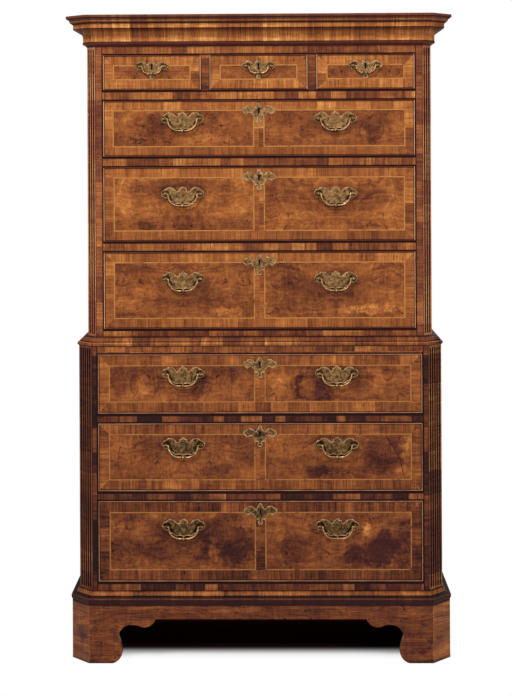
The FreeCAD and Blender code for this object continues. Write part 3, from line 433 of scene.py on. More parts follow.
def crossgrain(name, shape, length=62.0):
    """Crossgrained moulding; shape takes the finish and gives its base tone with painted highlight lines,
    the spread of its blocks' tones, its dirt and painted shade lines, and its redness.
    """
    wood = Finish(name)
    side_on = abs(wood.facing[0]) - abs(wood.facing[1])
    side = side_on.above(0.35, 0.02)
    run = wood.blend(side, wood.x, wood.y + 2000)
    leaf, joint = wood.lengths(run, length, seed=1.7, evenness=0.2)
    tone, relief = straight_walnut(wood, wood.z * 1.4 + wood.y * 0.7, run, leaf, 4)
    shade = wood.chance(leaf, 0.31) - 0.5
    base, spread, dirt_and_shade, purple = shape(wood)
    tone = base + shade * spread + tone - joint.under(0.45, 0.4) * 0.25
    polish(wood, tone, relief, dirt_and_shade, purple, 0.56)
    return wood


def line_at(wood, height, half, blur=0.8):
    """1 on a level line at that height."""
    return abs(wood.z - height).under(half, blur)


def cornice_shape(wood):
    crown = wood.z.above(FASCIA_TOP, 0.6)
    # Painted highlights: light lines along the cyma and along the top edge.
    base = 0.71 - crown * 0.16 + line_at(wood, 1824, 1.8, 2) * 0.34
    base = base + line_at(wood, 1838.6, 0.9) * 0.04
    # Painted shade: dark under the fascia and in the creases at the foot and the top of the cyma.
    dirt_and_shade = wood.z.under(1803.8, 1.5) * 0.6 + line_at(wood, FASCIA_TOP + 0.4, 1.5) * 0.6
    dirt_and_shade = dirt_and_shade + line_at(wood, CYMA_TOP - 0.6, 1.6) * 0.5
    return base, 0.24 - crown * 0.08, dirt_and_shade, crown * 0.6


def frieze_shape(wood):
    necking = wood.z.under(NECKING_TOP, 0.4)
    # Painted shadow at the top of the frieze under the crown, and painted light making the foot of the
    # hollow lighter; the necking is dark, with a painted highlight along its bead and painted shade in the
    # creases above and below it.
    top = wood.z.above(1795, 12)
    base = 0.675 + wood.z.under(1778, 16) * 0.11 - necking * 0.44
    base = base + line_at(wood, 1760, 1.3, 1.2) * 0.14
    dirt_and_shade = top * 0.26 + wood.z.under(1755.2, 1.4) * 0.5
    dirt_and_shade = dirt_and_shade + line_at(wood, NECKING_TOP - 0.4, 1.6, 1) * 0.5
    return base, 0.17, dirt_and_shade, necking * 0.8


def waist_shape(wood):
    nose = wood.z.under(NOSE_TOP, 1.0)
    # A light line along the nose's arris, painted highlight and wear; painted shade in dark lines at the
    # bottom and top edges and in the crease above the nose; darker at the right end.
    base = 0.54 - nose * 0.02 + line_at(wood, 905.8, 0.9) * 0.22
    dirt_and_shade = wood.z.under(897.4, 1.4) * 0.5 + wood.z.above(919.0, 1.4) * 0.4
    dirt_and_shade = dirt_and_shade + line_at(wood, 908.6, 1.1) * 0.4 + wood.x.above(500, 16) * (1 - nose * 0.6) * 0.2
    return base, 0.28, dirt_and_shade, (1 - nose) * 0.25


def base_shape(wood):
    torus = wood.z.under(TORUS_TOP, 1.2)
    # A painted highlight along the torus; painted shade in dark lines at the bottom and top edges and in
    # the crease above the torus.
    base = 0.59 - torus * 0.58 + line_at(wood, 182, 1.2, 1.6) * 0.42
    dirt_and_shade = wood.z.under(166.8, 2.0) * 0.4 + wood.z.above(198.2, 1.0) * 0.4
    dirt_and_shade = dirt_and_shade + line_at(wood, TORUS_TOP + 0.5, 1.2) * 0.5
    return base, 0.24 - torus * 0.1, dirt_and_shade, torus * 0.3


give(crossgrain("crossgrain_base_walnut", base_shape), "base_moulding")
give(crossgrain("crossgrain_waist_walnut", waist_shape), "waist_moulding")
give(crossgrain("crossgrain_crown_walnut", cornice_shape), "cornice_crown_moulding")
give(crossgrain("crossgrain_frieze_walnut", frieze_shape), "cornice_frieze_and_necking")


# Drawer rails and muntins.
# Pine rails faced with short blocks of walnut whose grain stands upright, of many shades where
# old blocks have been replaced; on the two muntins the grain lies level.

UPPER_DRAWERS = ((942.6, 1163.2), (1193.4, 1406.6), (1436.8, 1597.2), (1627.4, 1728.4))
LOWER_DRAWERS = ((226.4, 455.5), (483.7, 676.7), (704.9, 873.3))
GAP = 1.6
SHORT_ROW = (1626, 1729)
MUNTIN_PLACE, MUNTIN_HALF = 153, 12
WAIST_RAIL = (874, 900)
BASE_RAIL_TOP = 226


def rail_walnut(name, seed, base, spread, drawers, shadow):
    """Rails whose blocks vary by spread about base, with a painted shadow line round each drawer's gap;
    shadow is how many millimetres wider that line is under the drawer."""
    wood = Finish(name)
    muntin = (wood.z - SHORT_ROW[1]).under(0, 1) * (wood.z - SHORT_ROW[0]).above(0, 1)
    muntin = muntin * (abs(abs(wood.x) - MUNTIN_PLACE) - MUNTIN_HALF).under(0, 1)
    row = wood.work("FLOOR", wood.z / 40)
    run = wood.blend(muntin, wood.x + row * 137, wood.z)
    leaf, joint = wood.lengths(run, 44.0, seed=seed, evenness=0.1)
    leaf = leaf + row * 7.7
    tone, relief = straight_walnut(wood, wood.blend(muntin, wood.z, wood.x), run, leaf, 3)
    shade = wood.chance(leaf, 0.77) - 0.5
    tone = base + shade * spread + tone * 1.1 - joint.under(0.5, 0.4) * 0.28 - muntin * 0.12
    under_waist = wood.z.above(WAIST_RAIL[0], 1) * wood.z.under(WAIST_RAIL[1], 1)
    tone = tone + under_waist * (0.24 - shade * spread * 0.5) + wood.z.under(BASE_RAIL_TOP, 1) * 0.10
    # Painted shadow: a dark line along the rail round each drawer's gap, wider beneath it.
    gap_shadow = wood.z * 0
    for low, high in drawers:
        beside = abs(wood.z - (low + high) / 2) - (high - low) / 2 - GAP
        beneath = wood.z.under((low + high) / 2, 1)
        gap_shadow = gap_shadow.most((beside - beneath * shadow).under(1.9, 2.4))
    polish(wood, tone, relief, gap_shadow * (1 - muntin) * 0.95, 0.2)
    return wood


give(rail_walnut("crossgrain_upper_rail_walnut", seed=2.6, base=0.60, spread=0.38,
                 drawers=UPPER_DRAWERS, shadow=2.2), "upper_drawer_rails")
give(rail_walnut("crossgrain_lower_rail_walnut", seed=5.1, base=0.32, spread=0.60,
                 drawers=LOWER_DRAWERS, shadow=4.4), "lower_drawer_rails")


# Corner posts.
# Pine posts with a narrow crossbanded stile beside the drawers and a canted pilaster outside it, worked
# with round-ended flutes; the flutes and the edges beside the drawers are painted dark, as shade and as
# old wax and dirt.

UPPER_POST = dict(half_width=495, face_y=-227, cant=26, stile=21, base=0.53, ridge=0.88,
                  variety=0.34, seed=8.2, cast=(150, 84, 70))
LOWER_POST = dict(half_width=520.4, face_y=-252.4, cant=40.88, stile=16.1, base=0.22, ridge=0.66,
                  variety=0.46, seed=9.4, cast=PURPLE_WALNUT)


def post_walnut(name, half_width, face_y, cant, stile, base, ridge, variety, seed, cast):
    """A post: its sizes, the tones of its stile and its cant, how much they vary, and the cast."""
    wood = Finish(name)
    spread = abs(wood.x) + wood.y
    start = half_width - cant + face_y
    on_cant = spread.above(start, 0.3) * spread.under(start + 2 * cant, 0.3)
    depth = (half_width - cant - face_y - (abs(wood.x) - wood.y)) * 0.7071
    flute = depth.above(0.35, 0.6) * on_cant
    leaf, joint = wood.lengths(wood.z, 70.0, seed=seed, evenness=0.1)
    leaf = leaf + wood.x.sign() * 3.3 + on_cant * 1.9
    tone, relief = straight_walnut(wood, spread, wood.z, leaf, 3)
    shade = wood.chance(leaf, 0.19) - 0.5
    tone = wood.blend(on_cant, base, ridge) + shade * variety + tone - joint.under(0.6, 0.5) * 0.3
    edge = (half_width - cant - stile - abs(wood.x)) * -1
    arris = abs(spread - start).under(1.2, 1.2).most(edge.under(2.4, 2.4))
    smear = wood.cloud(wood.x / 20, wood.y / 20, wood.z / 90, 3)
    # Painted shade: the flutes and the arrises beside the drawers and the cant are darkened, as shade in
    # the hollows and gaps and as old wax and dirt.
    flute_and_gap_shade = flute * 1.0 + arris * 0.6
    reddish = (0.12 + on_cant * 0.40) * (1 - flute_and_gap_shade * 0.8).most(0)
    polish(wood, tone + smear * 0.5 * on_cant, relief, flute_and_gap_shade, reddish, 0.5, cast)
    return wood


give(post_walnut("crossgrain_upper_post_walnut", **UPPER_POST), "upper_corner_posts")
give(post_walnut("crossgrain_lower_post_walnut", **LOWER_POST), "lower_corner_posts")


# Drawer fronts.
# A pine board veneered with panels of figured walnut opened like a book, inside feather-banded
# stringing and a border mitred at the corners, with a thin walnut cockbead let in round the edges.

BEAD = 3.0
STRINGING = 3.1
STRIP_HALF = 13.5
JOIN = 219.0
LONG_DROP, SHORT_DROP = 33.5, 20.0
BAIL_BEND = 3.0
UPPER_FACE, LOWER_FACE = -227.0, -252.4
# Painted shade: black for the inside of the keyholes and of the holes for the posts.
HOLE_SHADE_BLACK = (9, 6, 5)
STRINGING_SHADES = [(0.0, (134, 78, 36)), (1.0, (210, 148, 78))]
BEAD_SHADES = [(0.0, (34, 15, 11)), (0.5, (118, 62, 38)), (1.0, (226, 176, 132))]
KEYHOLES = (425.5, 646.7, 843.3, 1133.2, 1376.6, 1567.2, 1694.8)
SHORT = dict(low=1627.4, high=1728.4, half=140.4, border=0.66, width=29, bead_light=(0.30, 0.84),
             pins=33.6, grain=0.9)
UPPER = dict(half=446.4, width=29, bead_light=(0.30, 0.84), pins=77.0, grain=0.8)
LOWER = dict(half=461.8, bead_light=(0.68, 0.64), thread=0.7)
FRONTS = {
    "short_left": dict(SHORT, x=-306.0, panel=0.55),
    "short_centre": dict(SHORT, panel=0.49),
    "short_right": dict(SHORT, x=306.0, panel=0.55),
    "upper_first": dict(UPPER, low=1436.8, high=1597.2, panel=0.555, border=0.575, width=27, paler=0.14,
                        pins=53.0),
    "upper_second": dict(UPPER, low=1193.4, high=1406.6, panel=0.57, border=0.57, paler=0.06),
    "upper_third": dict(UPPER, low=942.6, high=1163.2, panel=0.515, border=0.60, paler=0.04),
    "lower_first": dict(LOWER, low=704.9, high=873.3, panel=0.485, border=0.56, width=31, pins=55.0),
    "lower_second": dict(LOWER, low=483.7, high=676.7, panel=0.475, border=0.53, width=30.5, pins=61.0),
    "lower_third": dict(LOWER, low=226.4, high=455.5, panel=0.465, border=0.36, width=31.5,
                        paler=0.05, pins=71.0),
}
# Marks in the figure of each front: place from its middle, half width, half height, and how much
# darker and more purple the mark is, or lighter where the number is below nought.
MARKS = {
    "upper_first": [(-357, -12, 36, 26, -0.5), (-343, -30, 24, 9, 0.9), (-310, 8, 60, 34, 0.35),
                    (324, -11, 26, 36, 0.6), (126, -15, 12, 20, 0.45), (-150, -30, 50, 20, -0.3),
                    (400, 20, 30, 30, -0.3), (222, 0, 230, 130, 0.24)],
    "upper_second": [(-333, -64, 42, 9, 0.6), (-228, 34, 90, 40, 0.35), (318, -61, 32, 10, 0.6),
                     (327, 10, 64, 46, 0.3), (-385, 0, 34, 50, -0.4), (-60, -10, 36, 60, -0.25)],
    "upper_third": [(-82, -62, 52, 17, -0.8), (318, -56, 95, 18, -0.8), (-381, -40, 32, 28, -0.45),
                    (-350, 60, 40, 14, 0.4), (110, 20, 60, 40, 0.2)],
    "lower_first": [(-335, -6, 24, 32, -0.6), (-175, 0, 34, 50, 0.7), (-54, 0, 30, 60, -0.35),
                    (112, -6, 12, 48, 0.9), (180, -18, 36, 36, 0.7), (52, -6, 34, 60, -0.4),
                    (340, 0, 30, 36, -0.4), (-405, 10, 24, 50, 0.3)],
    "lower_second": [(418, 6, 26, 70, -0.7), (340, 4, 60, 70, 0.5), (164, -44, 40, 22, 0.4),
                     (-390, 18, 36, 46, -0.5), (-120, -34, 70, 20, 0.35), (-300, 40, 90, 16, 0.3)],
    "lower_third": [(-92, 0, 76, 96, 0.5), (-60, -42, 24, 22, 0.5), (-160, -36, 16, 42, 0.35),
                    (-134, -26, 14, 34, -0.8), (-387, 52, 34, 14, 0.4), (-290, -33, 40, 34, 0.3),
                    (100, -24, 52, 44, 0.35), (300, -42, 84, 36, 1.0), (352, -12, 44, 50, 1.05),
                    (404, -10, 34, 80, 0.7), (300, 28, 14, 34, -0.7), (170, 40, 40, 30, 0.4)],
}
# Dark veins in the figure: both ends from the middle of the front, the bow to the left of the line
# from the first end to the second, how far the brown fades off on that side, and how dark it is.
VEINS = {
    "lower_first": [(128, 54, 124, -50, -22, 26, 0.5), (104, 50, 102, -46, -14, 12, 0.4),
                    (176, -12, 196, -58, 8, 30, 0.5), (346, 26, 380, 22, 14, 8, 0.6),
                    (346, 26, 380, 22, -14, 8, 0.4), (-352, 34, -352, -38, -18, 12, 0.5),
                    (-300, 40, -312, -44, 16, 12, 0.45), (-82, 52, -84, -54, 3, 60, 0.4)],
    "lower_second": [(356, 60, 410, -66, 10, 90, 1.0), (120, 20, 190, 48, 8, 20, 0.5),
                     (290, 30, 330, 56, 12, 20, 0.4), (-388, 50, -402, -40, -10, 14, 0.4),
                     (130, -60, 250, -44, 10, 14, 0.3)],
    "lower_third": [(240, -60, 400, -20, 16, 40, 0.5), (-180, -70, -150, 60, -14, 20, 0.4),
                    (60, 30, 190, 10, 12, 18, 0.3)],
    "upper_second": [(-330, 20, -150, 50, 16, 40, 0.3), (290, 0, 380, 30, 14, 20, 0.3)],
    "upper_first": [(300, -38, 306, 24, 14, 16, 0.4), (346, -36, 344, 22, -12, 16, 0.4)],
}


def figured_walnut(wood, across, up, leaf):
    """Tone of a burr and curl leaf: mottle, swirling lines and small dark eyes; and its swirl."""
    swirl = wood.cloud(across / 70, up / 56, leaf, 3) * 74
    lift = wood.cloud(across / 70 + 9, up / 56, leaf, 3) * 64
    side, rise = across + swirl, up + lift
    band = wood.cloud(side / 15, rise / 50, leaf + 2.3, 3)
    line = wood.cloud(side / 2.8, rise / 24, leaf + 4.7, 2)
    curl = wood.cloud(side / 56, rise / 6.4, leaf + 12.7, 2)
    mottle = wood.cloud(across / 16, up / 13, leaf + 5.2, 3)
    patch = wood.cloud(across / 110, up / 80, leaf + 8.1, 2)
    eye = wood.cloud(side / 7, rise / 5, leaf + 6.6, 1).above(0.20, 0.08) * patch.above(0.0, 0.14)
    vein = abs(wood.cloud(side / 30, rise / 26, leaf + 1.4, 4)).under(0.012, 0.02)
    split = abs(wood.cloud(side / 70, rise / 34, leaf + 11.2, 3)).under(0.005, 0.006)
    split = split * wood.cloud(across / 60, up / 60, leaf + 15.2, 1).above(0.04, 0.08)
    tone = band * 0.30 + line * 0.34 + curl * 0.44 + mottle * 0.28 - patch * 0.42
    tone = tone - eye * 0.34 - vein * 0.08 - split * 0.3
    return tone, line * 0.02, swirl, lift


def keyhole(finish, x, spare):
    """1 on the keyholes in line at x and this many millimetres round them: a round over a slot."""
    aside = abs(finish.x - x)
    slot = finish.z * 0 + 900
    eye = finish.z * 0 + 900
    for height in KEYHOLES:
        slot = slot.least(abs(finish.z - height + 1.0))
        eye = eye.least(abs(finish.z - height - 4.5))
    eye = finish.work("SQRT", eye * eye + aside * aside)
    slot = aside.under(1.7 + spare, 0.8) * slot.under(8.0 + spare, 0.8)
    return slot.most(eye.under(3.0 + spare, 0.8))


def vein_shade(wood, u, v, wobble, vein):
    """How dark a vein makes each point: a sharp line that fades off on one side."""
    start, start_up, end, end_up, bow, reach, strength = vein
    length = math.hypot(end - start, end_up - start_up)
    right, rise = (end - start) / length, (end_up - start_up) / length
    share = ((u - start) * right + (v - start_up) * rise) / length
    aside = (v - start_up) * right - (u - start) * rise - share * (1 - share) * 4 * bow + wobble
    on = abs(share - 0.5).under(0.44, 0.24)
    fade = aside.above(0, 1.6) * (1 - aside / reach).most(0) * 0.6
    return on * (abs(aside).under(1.6, 2.2) + fade) * strength


def handle_shade_and_grime(wood, aside, below, drop, rag):
    """Painted shadow under the bail, where it has also knocked the veneer dark, and a faint painted shade
    with grime round the plate where no cloth reaches.
    """
    bail_shadow_and_knocks = 1 - (aside - 1) * (aside - 1) / (drop + 14) ** 2 - below * below / (drop + 5) ** 2
    bail_shadow_and_knocks = (bail_shadow_and_knocks + rag * 0.2).above(0.10, 0.22) * below.under(-4, 10)
    near = (1 - aside * aside / (drop + 40) ** 2 - below * below / (drop + 4) ** 2).above(0.2, 0.5)
    return bail_shadow_and_knocks * 0.34 + near * 0.06


def front_walnut(name, low, high, half, panel, border, width, bead_light, pins, grain=1.0, thread=1.0,
                 paler=0.0, x=0.0):
    """One front: its heights and half width, the tones of its panel and border, the painted light of its
    level and upright beads, the width of the border, how far the handle's pins are under the top, how
    strong the border's grain is, how clear the stringing is, and how much paler the border is at the top."""
    wood = Finish(f"{name}_front_walnut")
    seed = 1.0 + DRAWER_NAMES.index(name)
    long_one = half > 200
    u = wood.x - x
    v = wood.z - (low + high) / 2
    from_side = half - abs(u)
    from_level = (high - low) / 2 - abs(v)
    edge = from_side.least(from_level)
    inset = edge - width
    upright = (from_level - from_side).above(0, 0.3)
    if long_one:
        inset = inset.least(abs(u) - STRIP_HALF)
        upright = upright.most(abs(u).under(STRIP_HALF + 0.1, 0.1) * edge.above(width, 0.2))
    run = wood.blend(upright, u + v.sign() * 611, v + u.sign() * 1733)
    leaf, joint = wood.lengths(run, 56.0, seed=seed, evenness=0.15)
    band_tone, band_relief = straight_walnut(wood, wood.blend(upright, v, u), run, leaf + seed, 3)
    mitre = abs(from_side - from_level).under(0.5, 0.4) * edge.under(width, 0.2)
    block = (wood.chance(leaf, seed) - 0.5) * 0.20
    band_tone = (band_tone + block) * grain + border + v.above(0, 1) * paler
    band_tone = band_tone - joint.under(0.45, 0.4).most(mitre * 0.6) * 0.2

    book = abs(u) - JOIN if long_one else u
    half_seed = u.sign() * 2.9 + seed * 3.1 if long_one else seed * 3.1
    figure, panel_relief, swirl, lift = figured_walnut(wood, abs(book), v, half_seed)
    lean = wood.cloud(wood.x / 150, wood.z / 90, seed + 20, 2)
    panel_tone = panel + figure + lean * 0.5 - abs(book).under(0.4, 0.5) * 0.12
    dark = wood.z * 0
    stray = wood.cloud(wood.x / 34, wood.z / 28, seed + 41, 4)
    drift = wood.cloud(wood.x / 34, wood.z / 28, seed + 51, 4)
    rag = wood.cloud(wood.x / 10, wood.z / 9, seed + 71, 4)
    for place, height, wide, tall, strength in MARKS.get(name, []):
        across = (u - place + stray * 70 + swirl * 0.3) / wide
        up = (v - height + drift * 70 + lift * 0.3) / tall
        mark = (1 - across * across - up * up + rag * 1.0).above(0.35, 0.9)
        dark = dark + mark * strength
    speck = wood.cloud(wood.x / 7, wood.z / 6, seed + 31, 4)
    streak = wood.cloud((u + swirl) / 2.6, (v + lift) / 26, seed + 61, 3)
    dark = dark * (1 + speck * 1.6 + streak * 2.0)
    for vein in VEINS.get(name, []):
        dark = dark + vein_shade(wood, u, v, stray * 9, vein)
    panel_tone = panel_tone - dark * 0.27

    on_panel = inset.above(STRINGING, 0.2)
    on_string = inset.above(0, 0.2) - on_panel
    tone = wood.blend(on_panel, band_tone, panel_tone)
    aside, drop = (abs(u) - JOIN, LONG_DROP) if long_one else (u, SHORT_DROP)
    below = v - (high - low) / 2 + pins + BAIL_BEND
    # Painted shadow and grime round each handle.
    tone = tone - handle_shade_and_grime(wood, aside, below, drop, rag)
    hair = abs(inset).under(0.4, 0.4).most(abs(inset - STRINGING).under(0.4, 0.4))
    # Painted shade: a dark line in the crease just inside the cockbead, also a little duller.
    bead_crease_shade = abs(edge - BEAD - 0.8).under(1.0, 0.8)
    wear = wood.cloud(wood.x / 60, wood.y / 60, wood.z / 60, 3)
    colour = wood.shades(tone - hair * 0.14 - bead_crease_shade * 0.32 + wear * 0.14, WALNUT_SHADES)
    colour = wood.stain(dark.most(0) * on_panel * 0.32, colour, PURPLE_WALNUT)
    feather = wood.cloud((u + v) / 1.6, (u - v) / 8, 0.0, 1)
    string_gap = wood.cloud(u / 24, v / 24, seed + 11, 2).above(-0.12, 0.10)
    stringing = wood.shades(0.5 + feather * 1.4, STRINGING_SHADES)
    colour = wood.stain(on_string * (0.25 + 0.7 * string_gap) * thread, colour, stringing)
    # Painted light and shade on the cockbead: its front face lighter, its sides darker, and its level and
    # upright lengths of different tones as lit, with a little wear.
    facing_light = abs(wood.facing[1]).above(0.75, 0.3)
    worn = wood.cloud(u / 40, v / 40, seed, 3)
    lit_bead_tone = (wood.blend(upright, bead_light[0], bead_light[1]) + worn * 0.5) * (0.15 + 0.85 * facing_light)
    colour = wood.stain(edge.under(BEAD, 0.1), colour, wood.shades(lit_bead_tone, BEAD_SHADES))
    # Painted shade: the wood inside the keyholes is coloured black.
    deep = (wood.y - (UPPER_FACE if low > 900 else LOWER_FACE)).above(0.5, 0.4)
    by_key = keyhole(wood, x, 3.0)
    colour = wood.stain(deep * by_key, colour, HOLE_SHADE_BLACK)
    relief = wood.blend(on_panel, band_relief, panel_relief)
    wood.lay(colour, 0.42 + wear * 0.22 + bead_crease_shade * 0.3, relief)
    wood.surface.inputs["Specular IOR Level"].default_value = WAX_SHINE
    return wood


for name in DRAWER_NAMES:
    give(front_walnut(name, **FRONTS[name]), f"{name}_drawer_front")


# Brasses.
# Cast brass back plates, filed and engraved, held by round-headed posts with nuts inside the drawer; the
# plates have a brown patina with painted shade round the posts and inside the bails, and the bails are
# rubbed bright by hands, with painted light on their fronts and painted shade beneath.

BRASS_SHADES = [(0.0, (28, 18, 11)), (0.3, (88, 64, 40)), (0.6, (150, 112, 70)), (1.0, (226, 184, 132))]


PINS = (384.5, 615.7, 818.3, 1086.2, 1329.6, 1544.2, 1694.8)
SHORT_PLACE = 306.0
LONG_POST, SHORT_POST = 49.5, 35.0
BAIL_ARM = 8.0


def from_handle(metal):
    """How far a point is aside of the nearest handle's middle and over the line of its pins, and 1
    where that handle is a short drawer's small one."""
    small = metal.z.above(SHORT_ROW[0], 1)
    short_aside = abs(metal.x).least(abs(abs(metal.x) - SHORT_PLACE))
    aside = metal.blend(small, abs(abs(metal.x) - JOIN), short_aside)
    over = metal.z * 0 + 900
    for height in PINS:
        near = abs(metal.z - height).under(60, 0.1)
        over = over - near * (900 - metal.z + height)
    return aside, over, small


def old_brass(name, patina, rubbed_and_lit=0.0, chased_and_shaded=0.0):
    """Brass under a brown patina. Where it is rubbed it is brighter, with painted light on its front and
    painted shade on its back, its underside and the grooves of its knop; where it is chased, fine dark
    lines scroll over it, with painted shade round the posts and in the hollow inside the bail, and it is
    darker lower down."""
    metal = Finish(name)
    spot = metal.cloud(metal.x / 9, metal.y / 9, metal.z / 9, 3)
    scroll = abs(metal.cloud(metal.x / 8, metal.y / 8, metal.z / 7, 1)).under(0.03, 0.05) * chased_and_shaded
    fine = metal.cloud(metal.x / 1.8, metal.y / 1.8, metal.z / 1.8, 3)
    # Painted light: brighter on the front face and darker on the back, by how it faces.
    facing_light = (metal.facing[1] * -1).above(0.25, 1.1)
    low = metal.z.under(720, 420) * chased_and_shaded * 0.17
    tone = 0.5 + patina + spot * 1.0 + fine * 0.6 + (facing_light - 0.5) * rubbed_and_lit - scroll * 0.26 - low

    aside, over, small = from_handle(metal)
    from_post = aside - LONG_POST + small * (LONG_POST - SHORT_POST)
    post = metal.work("SQRT", from_post * from_post + over * over)
    # Painted shade in a ring round each post on the plate.
    tone = tone - abs(post - 8.5).under(3.2, 3.0) * chased_and_shaded * 0.30
    across = aside / (LONG_POST - BAIL_ARM - small * (LONG_POST - SHORT_POST))
    rise = (over + BAIL_BEND) / (LONG_DROP - BAIL_BEND - small * (LONG_DROP - SHORT_DROP))
    ring = across * across + rise * rise
    # Painted shade on the plate in the hollow just inside the bail.
    bail_hollow_shade = abs(ring - 0.86).under(0.17, 0.16) * across.above(0.42, 0.3) * rise.under(-0.1, 0.3)
    tone = tone - bail_hollow_shade * chased_and_shaded * 0.42
    # Painted shade in the grooves of the knop and on the undersides.
    knop_groove_shade = abs(aside - 4.4).under(1.4, 1.4) * rise.under(-0.5, 0.1)
    underside_shade = (metal.facing[2] * -1).above(0.45, 0.7)
    tone = tone - (knop_groove_shade * 0.45 + underside_shade * 0.30) * rubbed_and_lit

    # Painted shade: the brass inside the front's holes and round the keyholes is coloured black.
    face = metal.blend(metal.z.above(UPPER_START, 1), LOWER_FACE, UPPER_FACE)
    inside = (metal.y - face).above(0.4, 0.4) * (metal.y - face).under(20, 1)
    middle = keyhole(metal, 0, 0.9)
    for place in (SHORT_PLACE, -SHORT_PLACE):
        middle = middle.most(keyhole(metal, place, 0.9))
    hole_shade = inside.most(middle * (metal.y - face).under(1, 0.1) * chased_and_shaded)
    colour = metal.stain(hole_shade, metal.shades(tone, BRASS_SHADES), HOLE_SHADE_BLACK)
    roughness = 0.42 + rubbed_and_lit * 0.08 - spot * 0.5 + hole_shade * 0.4
    metal.lay(colour, roughness, fine * 0.05 + spot * 0.05 - scroll * 0.15)
    metal.feed(metal.surface.inputs["Metallic"], 1 - hole_shade)
    return metal


LONGEST_HOLE = 0.07


class Recipe:
    """A tree of geometry nodes. Its sizes, in metres, are named inputs of the tree."""

    def __init__(self, name, **sizes):
        self.tree = bpy.data.node_groups.new(name, "GeometryNodeTree")
        face = self.tree.interface
        face.new_socket("Start", in_out="INPUT", socket_type="NodeSocketGeometry")
        self.keys = {}
        for size in sizes:
            socket = face.new_socket(size, in_out="INPUT", socket_type="NodeSocketFloat")
            self.keys[size] = socket.identifier
        face.new_socket("Result", in_out="OUTPUT", socket_type="NodeSocketGeometry")
        self.sizes = sizes
        self.start = self.tree.nodes.new("NodeGroupInput")
        self.end = self.tree.nodes.new("NodeGroupOutput")

    def add(self, kind, inputs=None, **settings):
        """A node with its settings, and its inputs by name or number: a value or another's output."""
        node = self.tree.nodes.new(kind)
        for setting, value in settings.items():
            setattr(node, setting, value)
        for key, value in (inputs or {}).items():
            socket = node.inputs[key]
            if isinstance(value, bpy.types.NodeSocket):
                self.tree.links.new(value, socket)
            else:
                socket.default_value = value
        return node

    def size(self, name):
        return self.start.outputs[name]

    def sum(self, operation, *values):
        return self.add("ShaderNodeMath", dict(enumerate(values)), operation=operation).outputs[0]

    def outlines(self):
        """The long open edges of the starting mesh, as curves: outlines, without the holes."""
        beside = self.add("GeometryNodeInputMeshEdgeNeighbors")
        lone = self.add("FunctionNodeCompare", {2: beside.outputs[0], 3: 1}, data_type="INT",
                        operation="EQUAL")
        line = self.add("GeometryNodeMeshToCurve",
                        {0: self.start.outputs[0], "Selection": lone.outputs[0]})
        length = self.add("GeometryNodeSplineLength")
        short = self.add("FunctionNodeCompare", {0: length.outputs[0], 1: LONGEST_HOLE},
                         data_type="FLOAT", operation="LESS_THAN")
        whole = self.add("GeometryNodeDeleteGeometry", {0: line.outputs[0], 1: short.outputs[0]},
                         domain="CURVE")
        return whole.outputs[0]

    def finish(self, shape, material):
        whole = self.add("GeometryNodeRealizeInstances", {"Geometry": shape})
        dressed = self.add("GeometryNodeSetMaterial",
                           {"Geometry": whole.outputs[0], "Material": material})
        self.tree.links.new(dressed.outputs[0], self.end.inputs[0])
        return self

    def make(self, name, start, body, slot):
        """Runs the tree on a starting mesh and leaves a plain piece that rides on the body."""
        raw = bpy.data.objects.new(name + "_start", start)
        bpy.context.scene.collection.objects.link(raw)
        modifier = raw.modifiers.new("recipe", "NODES")
        modifier.node_group = self.tree
        for size, key in self.keys.items():
            modifier[key] = self.sizes[size]
        graph = bpy.context.evaluated_depsgraph_get()
        mesh = bpy.data.meshes.new_from_object(raw.evaluated_get(graph))
        bpy.data.objects.remove(raw)
        mesh.name = name
        piece = bpy.data.objects.new(name, mesh)
        bpy.context.scene.collection.objects.link(piece)
        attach(piece, body)
        return piece


plate_brass = old_brass("patinated_plate_brass", 0.0, chased_and_shaded=1.0)
bail_brass = old_brass("rubbed_bail_brass", -0.28, rubbed_and_lit=0.85)
edge_brass = old_brass("filed_edge_brass", 0.30)
give(plate_brass, *[f"{name}_drawer_brasses" for name in DRAWER_NAMES])
give(bail_brass, *[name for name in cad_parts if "_bail" in name])

PLATE_THICKNESS = 1.5
WAX_DEPTH = 1.3
SAME = 0.00005


def plate_outline(drawer, depth):
    """The flat fronts of a drawer's plates as one mesh, set that many millimetres further back."""
    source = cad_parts[f"{drawer}_drawer_brasses"].data
    face = LOWER_FACE if drawer.startswith("lower") else UPPER_FACE
    front = (face - PLATE_THICKNESS) / MM
    flat = bmesh.new()
    for polygon in source.polygons:
        corners = [source.vertices[index].co for index in polygon.vertices]
        if all(abs(corner.y - front) < SAME for corner in corners):
            flat.faces.new([flat.verts.new(corner) for corner in corners])
    bmesh.ops.remove_doubles(flat, verts=flat.verts, dist=SAME)
    bmesh.ops.translate(flat, verts=flat.verts, vec=(0, depth / MM, 0))
    mesh = bpy.data.meshes.new(drawer + "_plate_outline")
    flat.to_mesh(mesh)
    flat.free()
    return mesh


def edge_recipe(name, material, radius):
    """A round line along every outline of the plates."""
    edge = Recipe(name, radius=radius)
    ring = edge.add("GeometryNodeCurvePrimitiveCircle",
                    {"Radius": edge.size("radius"), "Resolution": 6})
    tube = edge.add("GeometryNodeCurveToMesh",
                    {"Curve": edge.outlines(), "Profile Curve": ring.outputs[0]})
    return edge.finish(tube.outputs[0], material)


